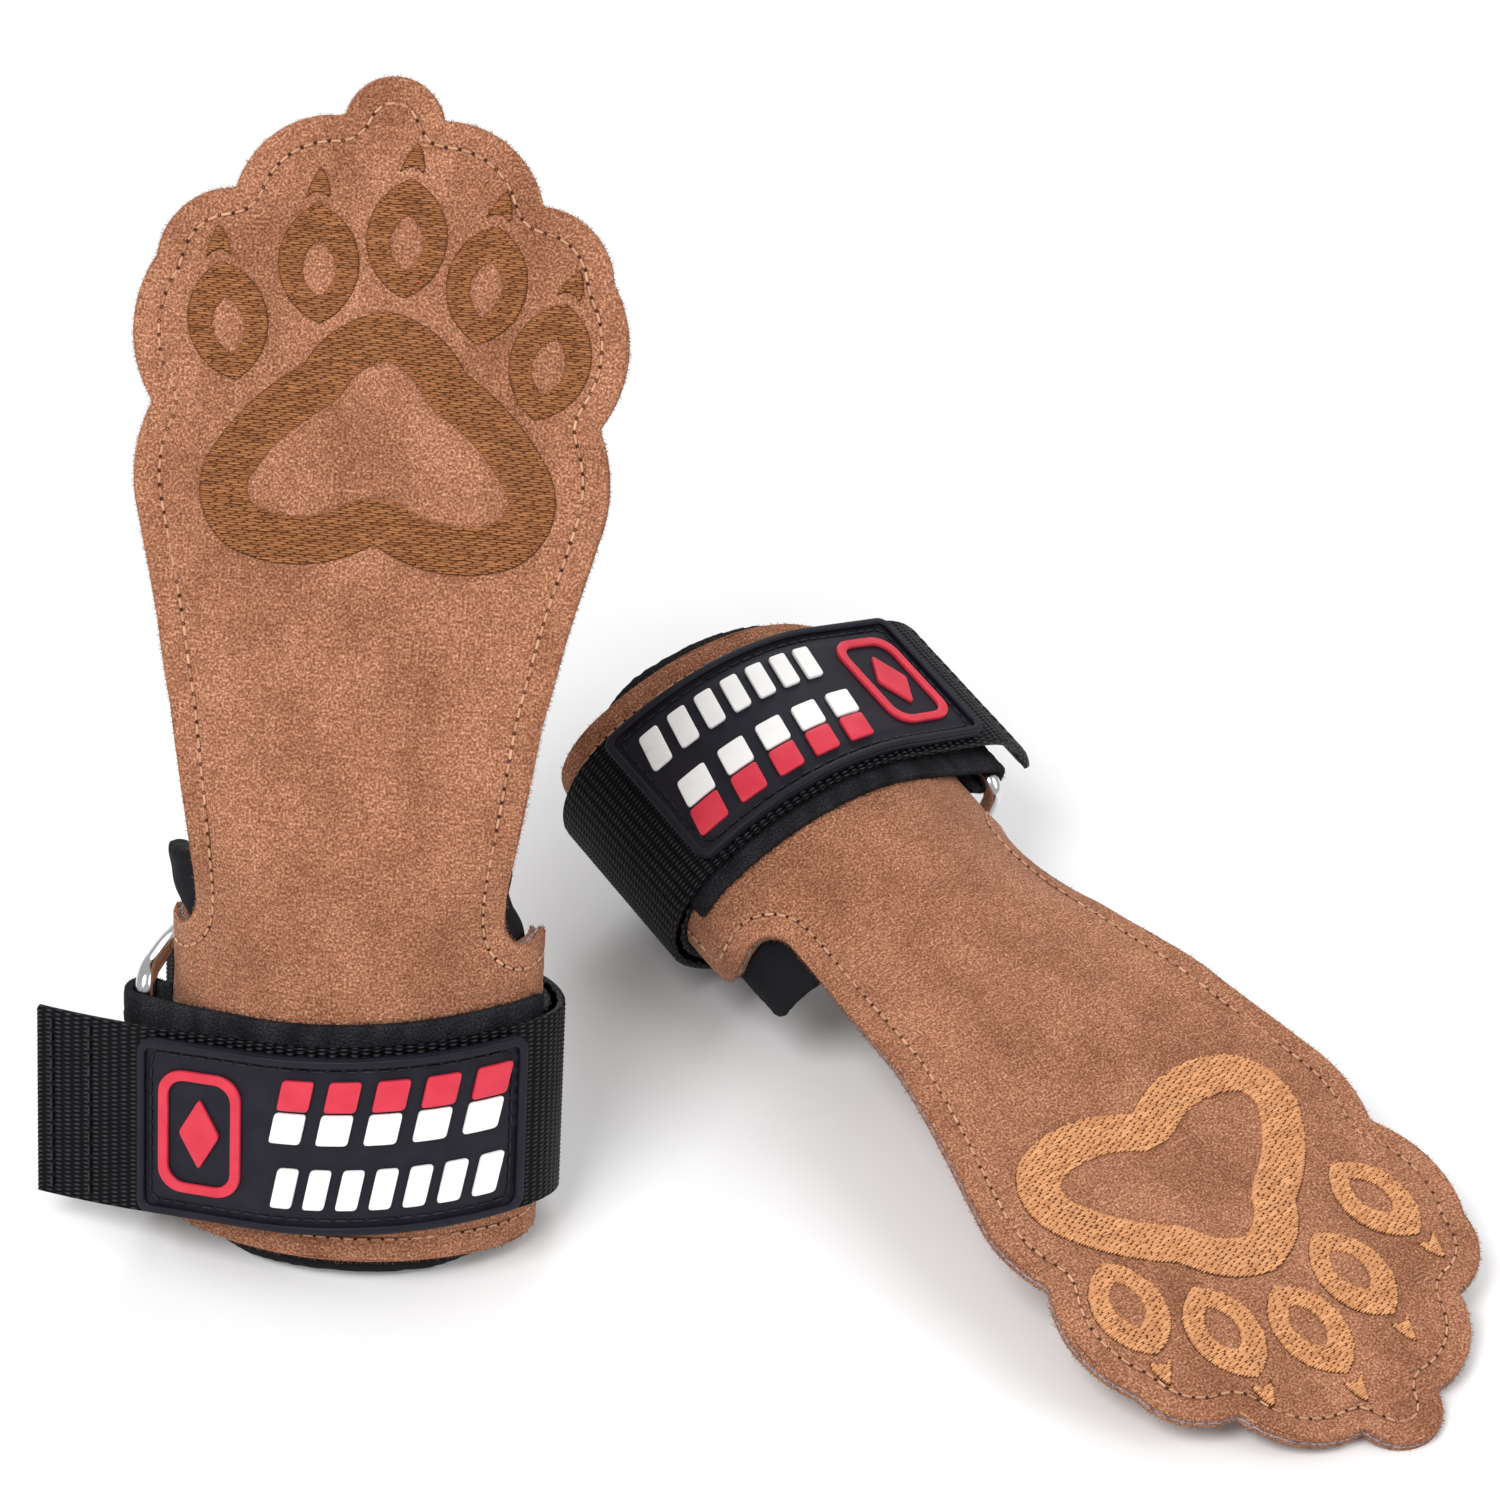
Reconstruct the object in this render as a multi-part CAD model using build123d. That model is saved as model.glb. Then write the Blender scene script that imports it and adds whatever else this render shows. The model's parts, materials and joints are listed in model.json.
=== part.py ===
"""Pair of leather palm grips with wrist cuffs, millimetres, +Z up.

Each grip is modelled in its own frame first: x to the right when looking at the outer face with the
fingers up, y towards the hand, z towards the fingertips, z = 0 at the middle of the wrist strap.
The wrist is a four-arc oval, and everything round it is a ribbon at some offset from that oval.
The two grips are equal.  One stands on its cuff, the other lies palm up.  The shared origin is at the
bottom centre of the pair's bounding box.
"""
import os
from math import acos, atan2, cos, degrees, hypot, radians, sin

from build123d import *

# Driving dimensions
WEBBING_WIDTH = 40.0
WEBBING_THICK = 1.7
CUFF_HALF_WIDTH = 36.5      # wrist leather, outer face
CUFF_HALF_DEPTH = 24.0
CUFF_SIDE_RADIUS = 17.0
GRIP_LENGTH = 206.0         # strap middle to fingertip
LEATHER_FACE = 1.4
LEATHER_CORE = 0.4
LEATHER_BACK = 1.2
PAD_THICK = 4.0
PAD_LINING = 0.6
RING_WIRE = 4.0
RING_LENGTH = 55.0
RING_CORNER = 4.0           # of the wire's middle line

# Heights along the grip
CUFF_LOW = -27.5
WING_TOP = 36.0
NECK_TOP = 49.0
PAD_LOW = -32.8
PAD_TOP = 49.5
WRIST_AXIS_Z = 52.0
FINGER_AXIS_Z = 105.0
FOLD_GAP = 3.0              # clear leather on each side of a fold line
BAND_RAISE = 3.5            # loop band sits this much nearer the fingers than the strap

# Offsets from the wrist leather's outer face
LEATHER_TOTAL = LEATHER_FACE + LEATHER_CORE + LEATHER_BACK
LOOP_THICK = 1.8
HOOK_IN = 2.1
STRAP_IN = 2.9
STRAP_OUT = STRAP_IN + WEBBING_THICK
PATCH_OUT = STRAP_OUT + 1.6
MARK_OUT = PATCH_OUT + 0.9
THREAD_RISE = 0.3
EMBROIDERY_RISE = 0.4
STITCH_INSET = 5.0

# Directions round the cuff, degrees from +x towards the back of the hand
WINGS = (150.0, 390.0)      # the wrist leather's two ends
PAD_ENDS = (142.0, 398.0)
BAND_ENDS = 62.0            # round the near bar
WEBBING_END = -18.0         # of the webbing's inner run
TAIL_LEAVES = 252.0         # the tail runs straight from here
TAIL_STRAIGHT = 48.0
STRAP_HINGE = 340.0
HINGE_HALF_GAP = 5.5
HOOK_START = 329.0
PATCH_RIGHT = 314.0
PATCH_STRAIGHT = 24.5

# Outline details
NECK_HALF = 30.3
NECK_FILLET = 7.0
WING_CORNER = 9.0
PAD_CORNER = 12.0
PAW_BAND = 9.0              # width of the embroidered paw ring
THREAD_WIDTH = 0.6
HEM = 3.5                   # bottom edge of the wrist leather to its seam
WING_HEM = 6.0
PATCH_MARGIN = 1.5          # strap edge to patch edge
RIM_WIDTH = 1.6
REACH = 60.0                # beyond every part of the cuff, for cutting

# Ring bars, seen along the wrist
NEAR_BAR = (-41.0, -8.5)    # held in the loop band's folded end
FAR_BAR = (-36.5, 17.5)     # the webbing turns back round this one
KEEPER_RADIUS = 2.2
WEBBING_FOLD_RADIUS = 3.3

# Rest pose of the pair
STANDING_YAW = -7.5
STANDING_BEND = 20.0        # the standing grip's palm leans back at the wrist fold
LYING_YAW = -145.0
LYING_OFFSET = (87.5, 89.5)


# ---------------------------------------------------------------- wrist oval and ribbons
SIDE_X = CUFF_HALF_WIDTH - CUFF_SIDE_RADIUS
FRONT_RADIUS = ((SIDE_X**2 + CUFF_HALF_DEPTH**2 - CUFF_SIDE_RADIUS**2)
                / (2 * (CUFF_HALF_DEPTH - CUFF_SIDE_RADIUS)))
FRONT_CENTRE = FRONT_RADIUS - CUFF_HALF_DEPTH
JOIN = degrees(atan2(FRONT_CENTRE, SIDE_X))   # where side arcs meet the front and back arcs


def oval(start, end, offset=0.0, flip=False):
    """Arcs (centre, signed radius, start, end) round the cuff; flip turns the outer side inwards."""
    arcs = [
        (-JOIN, JOIN, (SIDE_X, 0.0), CUFF_SIDE_RADIUS),
        (JOIN, 180 - JOIN, (0.0, -FRONT_CENTRE), FRONT_RADIUS),
        (180 - JOIN, 180 + JOIN, (-SIDE_X, 0.0), CUFF_SIDE_RADIUS),
        (180 + JOIN, 360 - JOIN, (0.0, FRONT_CENTRE), FRONT_RADIUS),
        (360 - JOIN, 360 + JOIN, (SIDE_X, 0.0), CUFF_SIDE_RADIUS),
    ]
    low, high = min(start, end), max(start, end)
    path = []
    for first, last, centre, radius in arcs:
        a, b = max(low, first), min(high, last)
        if b - a > 0.01:
            path.append((centre, radius + offset, a, b))
    if start > end:
        path = [(centre, radius, b, a) for centre, radius, a, b in reversed(path)]
    if flip:
        path = [(centre, -radius, a + 180, b + 180) for centre, radius, a, b in path]
    return path


def on_arc(centre, radius, angle):
    return (centre[0] + radius * cos(radians(angle)), centre[1] + radius * sin(radians(angle)))


def tangent_angle(first, first_radius, second, second_radius, side):
    """Normal direction of the line that touches two circles of signed radius."""
    dx, dy = second[0] - first[0], second[1] - first[1]
    spread = degrees(acos((first_radius - second_radius) / hypot(dx, dy)))
    return degrees(atan2(dy, dx)) % 360 + side * spread


def straight_end(leaves, length, offset=0.0):
    """End point of a straight run that leaves the front of the oval at an angle."""
    x, y = on_arc((0.0, FRONT_CENTRE), FRONT_RADIUS + offset, leaves)
    turn = radians(leaves)
    return ((x + length * sin(turn), y - length * cos(turn)), 0.0, leaves, leaves)


def ribbon(path, inner, outer, z_low, z_high):
    """Solid between two offsets of a path; lines fill the stretches between its arcs."""
    def side(offset):
        edges, last = [], None
        for centre, radius, start, end in path:
            points = [on_arc(centre, radius + offset, a) for a in (start, (start + end) / 2, end)]
            if last and hypot(points[0][0] - last[0], points[0][1] - last[1]) > 0.001:
                edges.append(Line(last, points[0]))
            if start != end:
                edges.append(ThreePointArc(*points))
            last = points[2]
        first = on_arc(path[0][0], path[0][1] + offset, path[0][2])
        return edges, first, last

    outer_edges, outer_first, outer_last = side(outer)
    inner_edges, inner_first, inner_last = side(inner)
    ends = [Line(outer_first, inner_first), Line(outer_last, inner_last)]
    section = make_face(outer_edges + inner_edges + ends)
    return extrude(Pos(0, 0, z_low) * section, z_high - z_low)


def upright(face, y_outer, y_inner):
    """Plate of a face drawn as (x, z), between two depths."""
    return extrude(Plane.XZ.offset(-y_inner) * face, y_inner - y_outer)


def sideways(face):
    """Prism of a face drawn as (y, z), right through the cuff from side to side."""
    return extrude(Plane.YZ.offset(-REACH) * face, 2 * REACH)


def rounded_ends(plate, radius, thick):
    """Round the four outline corners of a thin ribbon."""
    corners = [e for e in plate.edges() if abs(e.length - thick) < 0.02 and e.geom_type == GeomType.LINE]
    return fillet(corners, radius)


def polygon(*points):
    return make_face(Polyline(*points, close=True))


# ---------------------------------------------------------------- leather
def palm_outline():
    """Bear-paw outline of the palm leather, drawn as (x, z)."""
    right = [
        ThreePointArc((0, GRIP_LENGTH), (6.8, 203.2), (9.5, 198)),
        ThreePointArc((9.5, 198), (22.7, 193.8), (29.4, 183)),
        ThreePointArc((29.4, 183), (38.1, 179.9), (43.8, 169.3)),
        ThreePointArc((43.8, 169.3), (47.4, 154), (42.9, 141.5)),
        ThreePointArc((42.9, 141.5), (45.6, 129), (44.1, 119.9)),
        ThreePointArc((44.1, 119.9), (35.3, 84), (NECK_HALF, NECK_TOP - 10)),
    ]
    left = [mirror(edge, about=Plane.YZ) for edge in right]
    foot = Line((NECK_HALF, NECK_TOP - 10), (-NECK_HALF, NECK_TOP - 10))
    return make_face(right + left + [foot])


def band_of(face, z_low, z_high):
    """Part of a face between two heights."""
    return face & (Pos(0, (z_low + z_high) / 2) * Rectangle(2 * REACH, z_high - z_low))


def layer_depths():
    """Depth of each leather layer behind the outer face, outermost first."""
    core = LEATHER_FACE + LEATHER_CORE
    return {
        "face_leather": (0.0, LEATHER_FACE),
        "interlining": (LEATHER_FACE, core),
        "back_leather": (core, LEATHER_TOTAL),
    }


def wrist_leather(depths):
    """C-shaped leather round the wrist with two wings and the neck up to the palm."""
    near, far = depths
    wrap = ribbon(oval(*WINGS), -far, -near, CUFF_LOW, NECK_TOP)
    wing_back = CUFF_SIDE_RADIUS * sin(radians(WINGS[0]))
    wing = polygon((-REACH, CUFF_LOW), (wing_back, CUFF_LOW), (wing_back, WING_TOP), (-REACH, WING_TOP))
    wing = fillet(wing.vertices().group_by(Axis.X)[-1], WING_CORNER)
    neck = polygon((-REACH, WING_TOP), (0, WING_TOP), (0, NECK_TOP), (-REACH, NECK_TOP))
    front = polygon((-REACH, CUFF_LOW), (REACH, CUFF_LOW), (REACH, WING_TOP), (NECK_HALF, WING_TOP),
                    (NECK_HALF, NECK_TOP), (-NECK_HALF, NECK_TOP), (-NECK_HALF, WING_TOP), (-REACH, WING_TOP))
    roots = [v for v in front.vertices() if abs(abs(v.X) - NECK_HALF) < 0.1 and v.Y < NECK_TOP - 1]
    return wrap & sideways(wing + neck) & upright(fillet(roots, NECK_FILLET), -REACH, REACH)


def flap_layer(face, depths):
    near, far = depths
    return upright(face, -CUFF_HALF_DEPTH + near, -CUFF_HALF_DEPTH + far)


def seam(face, y_outer):
    """Thin raised line of stitches inside the edge of a face."""
    outside = offset(face, THREAD_WIDTH / 2 - STITCH_INSET)
    inside = offset(face, -THREAD_WIDTH / 2 - STITCH_INSET)
    return upright(outside, y_outer - THREAD_RISE, y_outer) - upright(inside, y_outer - 1, y_outer + 1)


def cuff_seam(start, end, z):
    return ribbon(oval(start, end), 0.0, THREAD_RISE, z - THREAD_WIDTH / 2, z + THREAD_WIDTH / 2)


def leather_parts(outline):
    palm_zone = (WRIST_AXIS_Z + FOLD_GAP, FINGER_AXIS_Z - FOLD_GAP)
    finger_zone = (FINGER_AXIS_Z + FOLD_GAP, GRIP_LENGTH)
    nodes = {}
    for layer, depths in layer_depths().items():
        nodes["wrist_" + layer] = wrist_leather(depths)
        nodes["palm_" + layer] = flap_layer(band_of(outline, *palm_zone), depths)
        nodes["finger_" + layer] = flap_layer(band_of(outline, *finger_zone), depths)
    stitches = seam(outline, -CUFF_HALF_DEPTH)
    for region, zone in (("palm", palm_zone), ("finger", finger_zone)):
        sheet = band_of(Rectangle(2 * REACH, 2 * GRIP_LENGTH), *zone)
        nodes[region + "_seam"] = stitches & upright(sheet, -REACH, 0)
    wings = cuff_seam(165, 375, WING_TOP - WING_HEM) - upright(Rectangle(56, 2 * REACH), -REACH, 0)
    nodes["wrist_seam"] = cuff_seam(180, 360, CUFF_LOW + HEM) + wings
    return nodes


# ---------------------------------------------------------------- embroidery
def paw_outline():
    right = [
        ThreePointArc((0, 161), (9, 157.5), (15.5, 150)),
        ThreePointArc((15.5, 150), (25.5, 142), (31.5, 134)),
        ThreePointArc((31.5, 134), (33.3, 122), (26, 114)),
        ThreePointArc((26, 114), (13, 112.4), (0, 117)),
    ]
    left = [mirror(edge, about=Plane.YZ) for edge in right]
    return make_face(right + left)


def toe(width, height):
    """Pointed oval with an opening shaped like a drop."""
    half, tall = width / 2, height / 2
    rim = make_face([
        ThreePointArc((0, -tall), (half, -0.12 * height), (0, tall)),
        ThreePointArc((0, tall), (-half, -0.12 * height), (0, -tall)),
    ])
    drop = make_face([
        ThreePointArc((0, -0.28 * height), (0.2 * width, -0.12 * height), (0, 0.2 * height)),
        ThreePointArc((0, 0.2 * height), (-0.2 * width, -0.12 * height), (0, -0.28 * height)),
    ])
    return rim - drop


def claw():
    return make_face([
        ThreePointArc((-2.2, 0), (-0.9, 3), (0.8, 5.6)),
        ThreePointArc((0.8, 5.6), (2.0, 3), (2.2, 0)),
        ThreePointArc((2.2, 0), (0, 1.2), (-2.2, 0)),
    ])


# Middle and tilt of each toe
TOES = [(-29.2, 157.6, 12), (-12.5, 169.5, 5), (4.0, 175.3, 0), (19.8, 167.4, -6), (32.8, 153.6, -12)]


def embroidery_parts():
    front = -CUFF_HALF_DEPTH
    pad = upright(paw_outline(), front - EMBROIDERY_RISE, front)
    pad -= upright(offset(paw_outline(), -PAW_BAND), front - 1, front + 1)
    nodes = {"paw_embroidery": Pos(1.5, 0, 0) * pad}
    for name, shape, rise in (("toe_embroidery", toe(14.6, 22.5), 0), ("claw_embroidery", claw(), 12.6)):
        pieces = [Pos(x, z) * Rot(0, 0, tilt) * Pos(0, rise) * shape for x, z, tilt in TOES]
        solids = [upright(piece, front - EMBROIDERY_RISE, front) for piece in pieces]
        nodes[name] = Compound(children=solids)
    return nodes


# ---------------------------------------------------------------- wrist pad
def wrist_pad(inner, outer):
    """Padding inside the wrist leather, higher at the sides and shorter at the bottom corners."""
    wrap = ribbon(oval(*PAD_ENDS), inner, outer, PAD_LOW, PAD_TOP)
    back = CUFF_SIDE_RADIUS * sin(radians(PAD_ENDS[0]))
    profile = polygon((-REACH, PAD_LOW), (-19, PAD_LOW), (back - 4, -14), (back, -4), (back, PAD_TOP),
                      (-REACH, PAD_TOP))
    for corner in ((-19, PAD_LOW), (back, PAD_TOP)):
        profile = fillet(profile.vertices().sort_by_distance(corner)[0], PAD_CORNER)
    return wrap & sideways(profile)


# ---------------------------------------------------------------- strap, ring and patch
def band_path():
    leaves = tangent_angle((0.0, FRONT_CENTRE), FRONT_RADIUS, NEAR_BAR, KEEPER_RADIUS, 1)
    return oval(STRAP_HINGE + 2, leaves) + [(NEAR_BAR, KEEPER_RADIUS, leaves, BAND_ENDS)]


def band_return():
    """Short end of the loop band, sewn back behind its own straight stretch."""
    turn, length = radians(BAND_ENDS), 4.0
    x, y = on_arc(NEAR_BAR, KEEPER_RADIUS, BAND_ENDS)
    end = (x + length * sin(turn), y - length * cos(turn))
    return [((x, y), 0.0, BAND_ENDS, BAND_ENDS), (end, 0.0, BAND_ENDS, BAND_ENDS)]


def webbing_path():
    """Outer run from the hinge across the back, round the far bar, and the inner run back again."""
    back = (0.0, -FRONT_CENTRE)
    outer = tangent_angle(back, FRONT_RADIUS + STRAP_IN, FAR_BAR, WEBBING_FOLD_RADIUS, -1)
    inner_radius = -(FRONT_RADIUS + LOOP_THICK)
    inner = tangent_angle(FAR_BAR, WEBBING_FOLD_RADIUS, back, inner_radius, -1)
    start = STRAP_HINGE - 360 + HINGE_HALF_GAP
    return (oval(start, outer, STRAP_IN) + [(FAR_BAR, WEBBING_FOLD_RADIUS, outer, inner)]
            + oval(inner - 180, WEBBING_END, LOOP_THICK, flip=True))


def tail_path(start, straight):
    return oval(start, TAIL_LEAVES) + [straight_end(TAIL_LEAVES, straight)]


def strap_ring():
    """Rounded rectangular ring of round wire through both ring bars."""
    dx, dy = FAR_BAR[0] - NEAR_BAR[0], FAR_BAR[1] - NEAR_BAR[1]
    middle = ((NEAR_BAR[0] + FAR_BAR[0]) / 2, (NEAR_BAR[1] + FAR_BAR[1]) / 2, BAND_RAISE / 2)
    plane = Plane(origin=middle, x_dir=(dx, dy, 0), z_dir=(dy, -dx, 0))
    loop = plane * RectangleRounded(hypot(dx, dy), RING_LENGTH - RING_WIRE, RING_CORNER).face().outer_wire()
    start = loop @ 0
    return sweep(Plane(origin=start, z_dir=loop % 0) * Circle(RING_WIRE / 2), loop)


def patch_sheet(inner, outer, margin, radius):
    """Part of the patch between two offsets, set in from its edge by a margin."""
    half = WEBBING_WIDTH / 2 - PATCH_MARGIN - margin
    turn = degrees(margin / (CUFF_SIDE_RADIUS + PATCH_OUT))
    sheet = ribbon(tail_path(PATCH_RIGHT - turn, PATCH_STRAIGHT - margin), inner, outer, -half, half)
    return rounded_ends(sheet, radius, outer - inner)


def slanted_bar(x, z, width, height, lean):
    return Pos(x, z) * polygon((-width / 2, -height / 2), (width / 2, -height / 2),
                               (width / 2 + lean, height / 2), (-width / 2 + lean, height / 2))


def patch_marks():
    """Raised marks on the patch as flat faces (x, z): emblem, red tops, white bars."""
    frame = Pos(-27, 0) * (RectangleRounded(17, 26, 5) - RectangleRounded(13, 22, 3.5))
    diamond = Pos(-27, 0) * polygon((0, -7.5), (4.2, 0), (0, 7.5), (-4.2, 0))
    tops = [slanted_bar(-8.1 + 9.2 * i, 10.8, 6.2, 6.4, 1.2) for i in range(5)]
    bottoms = [slanted_bar(-9.6 + 9.2 * i, 3.8, 6.2, 6.4, 1.2) for i in range(5)]
    small = [slanted_bar(-10.2 + 6.4 * i, -9, 4.2, 8.5, 1.6) for i in range(7)]
    return {"patch_emblem": [frame, diamond], "patch_red_marks": tops, "patch_white_marks": bottoms + small}


def patch_parts():
    def ring(top, margin, width, radius):
        outside = patch_sheet(PATCH_OUT, top, margin, radius)
        return outside - patch_sheet(PATCH_OUT, top, margin + width, max(radius - 1, 1.0))

    nodes = {
        "patch_base": patch_sheet(STRAP_OUT, PATCH_OUT, 0, 2.5),
        "patch_rim": ring(MARK_OUT, 0, RIM_WIDTH, 2.5),
        "patch_seam": ring(PATCH_OUT + THREAD_RISE, RIM_WIDTH + 0.8, 0.5, 1.2),
    }
    raised = patch_sheet(PATCH_OUT, MARK_OUT, RIM_WIDTH + 1.6, 1.0)
    for name, faces in patch_marks().items():
        pieces = [raised & upright(face, -REACH, 0) for face in faces]
        nodes[name] = Compound(children=[solid for piece in pieces for solid in piece.solids()])
    return nodes


def strap_parts():
    half = WEBBING_WIDTH / 2
    band = (0.0, LOOP_THICK, BAND_RAISE - half, BAND_RAISE + half)
    tail = tail_path(STRAP_HINGE - HINGE_HALF_GAP, TAIL_STRAIGHT)
    hook = tail_path(HOOK_START, TAIL_STRAIGHT - 2)
    return {
        "loop_band": ribbon(band_path(), *band) + ribbon(band_return(), *band),
        "strap_webbing": ribbon(webbing_path(), 0.0, WEBBING_THICK, -half, half),
        "strap_ring": strap_ring(),
        "strap_tail": ribbon(tail, STRAP_IN, STRAP_OUT, -half, half),
        "hook_tape": ribbon(hook, HOOK_IN, STRAP_IN, 2 - half, half - 2),
    }


# ---------------------------------------------------------------- one grip, by moving body
FLAP_Y = -CUFF_HALF_DEPTH + LEATHER_TOTAL / 2
HINGE_OFFSET = (HOOK_IN + STRAP_OUT) / 2
WRIST_AXIS = (0.0, FLAP_Y, WRIST_AXIS_Z)
FINGER_AXIS = (0.0, FLAP_Y, FINGER_AXIS_Z)
STRAP_AXIS = on_arc((SIDE_X, 0.0), CUFF_SIDE_RADIUS + HINGE_OFFSET, STRAP_HINGE) + (0.0,)
RING_AXIS = NEAR_BAR + (0.0,)


def body_of(node):
    if node.startswith(("finger", "paw", "toe", "claw")):
        return "fingers"
    if node.startswith("palm"):
        return "palm"
    if node.startswith(("strap_tail", "hook", "patch")):
        return "tail"
    return "ring" if node == "strap_ring" else "cuff"


def build_grip():
    nodes = leather_parts(palm_outline())
    nodes.update(embroidery_parts())
    nodes["wrist_pad"] = wrist_pad(-LEATHER_TOTAL - PAD_THICK + PAD_LINING, -LEATHER_TOTAL)
    nodes["pad_lining"] = wrist_pad(-LEATHER_TOTAL - PAD_THICK, -LEATHER_TOTAL - PAD_THICK + PAD_LINING)
    nodes.update(strap_parts())
    nodes.update(patch_parts())
    return nodes


def wrist_bend(angle):
    """Turn about the wrist fold; a positive angle folds the palm towards its outer face."""
    return Pos(*WRIST_AXIS) * Rot(angle, 0, 0) * Pos(*[-c for c in WRIST_AXIS])


def stand_angle():
    """The cuff rests on the pad's front edge and the strap's back edge."""
    rise = -WEBBING_WIDTH / 2 - PAD_LOW
    return degrees(atan2(rise, 2 * CUFF_HALF_DEPTH + STRAP_OUT - LEATHER_TOTAL))


def lie_angle():
    """The cuff rests on the strap's back edge, and the fingertips on the palm leather's back."""
    drop = 2 * CUFF_HALF_DEPTH + STRAP_OUT - LEATHER_TOTAL
    return 90 + degrees(atan2(drop, GRIP_LENGTH - WEBBING_WIDTH / 2))


def lowest(shapes):
    return min(shape.bounding_box().min.Z for shape in shapes)


def place(nodes, bend, turn):
    """Pose one grip's nodes and set the lowest of them on the ground."""
    posed = {}
    for node, shape in nodes.items():
        flap = wrist_bend(-bend) if body_of(node) in ("palm", "fingers") else Pos(0, 0, 0)
        posed[node] = turn * flap * shape
    lift = Pos(0, 0, -lowest(posed.values()))
    return {node: lift * shape for node, shape in posed.items()}, lift * turn


grip = build_grip()
standing, standing_place = place(grip, STANDING_BEND, Rot(0, 0, STANDING_YAW) * Rot(-stand_angle(), 0, 0))
lying, lying_place = place(grip, 0, Pos(*LYING_OFFSET, 0) * Rot(0, 0, LYING_YAW) * Rot(-lie_angle(), 0, 0))

boxes = [shape.bounding_box() for shape in [*standing.values(), *lying.values()]]
centre = Pos(-(min(b.min.X for b in boxes) + max(b.max.X for b in boxes)) / 2,
             -(min(b.min.Y for b in boxes) + max(b.max.Y for b in boxes)) / 2, 0)
PLACES = {"a": centre * standing_place, "b": centre * lying_place}

os.makedirs("parts", exist_ok=True)
for suffix, nodes in (("a", standing), ("b", lying)):
    for node, shape in nodes.items():
        export_step(centre * shape, f"parts/{node}_{suffix}.step")
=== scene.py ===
import json
import math

import bmesh
import bpy
import numpy as np
from mathutils import Matrix, Vector
from mathutils.geometry import delaunay_2d_cdt


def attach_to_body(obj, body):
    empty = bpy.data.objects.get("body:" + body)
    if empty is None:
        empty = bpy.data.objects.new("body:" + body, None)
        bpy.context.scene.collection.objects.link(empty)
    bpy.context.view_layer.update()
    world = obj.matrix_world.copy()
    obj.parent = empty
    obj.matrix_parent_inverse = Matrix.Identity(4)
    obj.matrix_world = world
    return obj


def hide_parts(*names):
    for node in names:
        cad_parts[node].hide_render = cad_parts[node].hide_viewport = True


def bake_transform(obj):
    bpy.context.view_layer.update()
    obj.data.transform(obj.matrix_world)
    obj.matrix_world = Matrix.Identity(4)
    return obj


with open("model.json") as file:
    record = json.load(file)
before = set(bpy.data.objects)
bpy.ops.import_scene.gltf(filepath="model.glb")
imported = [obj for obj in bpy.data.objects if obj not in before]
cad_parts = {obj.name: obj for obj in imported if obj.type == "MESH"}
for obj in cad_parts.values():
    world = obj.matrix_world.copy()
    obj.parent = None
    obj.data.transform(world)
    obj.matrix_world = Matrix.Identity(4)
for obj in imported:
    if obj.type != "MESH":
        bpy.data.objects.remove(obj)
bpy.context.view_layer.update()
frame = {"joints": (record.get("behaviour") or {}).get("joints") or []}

# ---- driving sizes, millimetres
# Each grip has its own frame: x right, y towards the hand, z towards the fingertips, 0 at the strap.
SIDE_X, SIDE_RADIUS = 19.5, 17.0            # side arcs of the wrist oval, leather's outer face
FRONT_RADIUS = 47.66                        # front and back arcs
HALF_DEPTH = 24.0
FRONT_CENTRE = FRONT_RADIUS - HALF_DEPTH
JOIN = math.degrees(math.atan2(FRONT_CENTRE, SIDE_X))
GRIP_LENGTH = 206.0
CUFF_LOW, WING_TOP, WING_END = -27.5, 36.0, 56.0
WRIST_Z, FINGER_Z, SPLIT_Z = 52.0, 105.0, 78.0
FOLD_HALF = 12.0                            # each fold bends over this far on both sides
LEATHER, FACE_THICK, BACK_THICK = 3.0, 1.4, 1.2
CORE_DEPTH, CORE_THICK = 1.34, 0.52         # interlining between the two leathers
PAD_DEPTH, LINING_DEPTH = 3.6, 6.95         # below the leather's outer face
FLAP_Y = -HALF_DEPTH + LEATHER / 2
STITCH_INSET, STITCH_PITCH = 5.0, 2.7
WEB_HALF, WEB_THICK = 20.0, 1.7
LOOP_THICK, HOOK_IN, STRAP_IN = 1.8, 2.1, 2.9
PATCH_OUT, MARK_HEIGHT = STRAP_IN + WEB_THICK + 1.6, 0.9
STRAP_HINGE, HINGE_HALF_GAP = 340.0, 5.5
TAIL_LEAVES, TAIL_STRAIGHT, CURL_LENGTH = 252.0, 48.0, 23.0
NEAR_BAR, FAR_BAR = (-41.0, -8.5), (-36.5, 17.5)
RING_WIRE, RING_HEIGHT, RING_MIDDLE = 2.0, 48.0, 1.6
BAND_UP = 3.5                               # the loop band shows this far above the strap
WEAVE_COLUMN, WEAVE_ROW = 2.1, 0.95
UV_SIZE = 100.0                             # millimetres in one unit of every UV map


def smooth(t):
    t = np.clip(t, 0.0, 1.0)
    return t * t * (3 - 2 * t)


def unit(v):
    """Vectors along the last axis, scaled to length 1."""
    return v / np.maximum(np.linalg.norm(v, axis=-1, keepdims=True), 1e-12)


def circle(angles):
    """Unit vectors at some angles in radians."""
    return np.column_stack((np.cos(angles), np.sin(angles)))


def closed(loop):
    return np.vstack((loop, loop[:1]))


def distances(line):
    """How far along a flat line each of its points is."""
    return np.concatenate(([0.0], np.cumsum(np.hypot(*np.diff(line, axis=0).T))))


def follow(line, at):
    """Points of a flat line at some distances along it."""
    t = distances(line)
    return np.column_stack([np.interp(at, t, line[:, k]) for k in (0, 1)])


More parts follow.
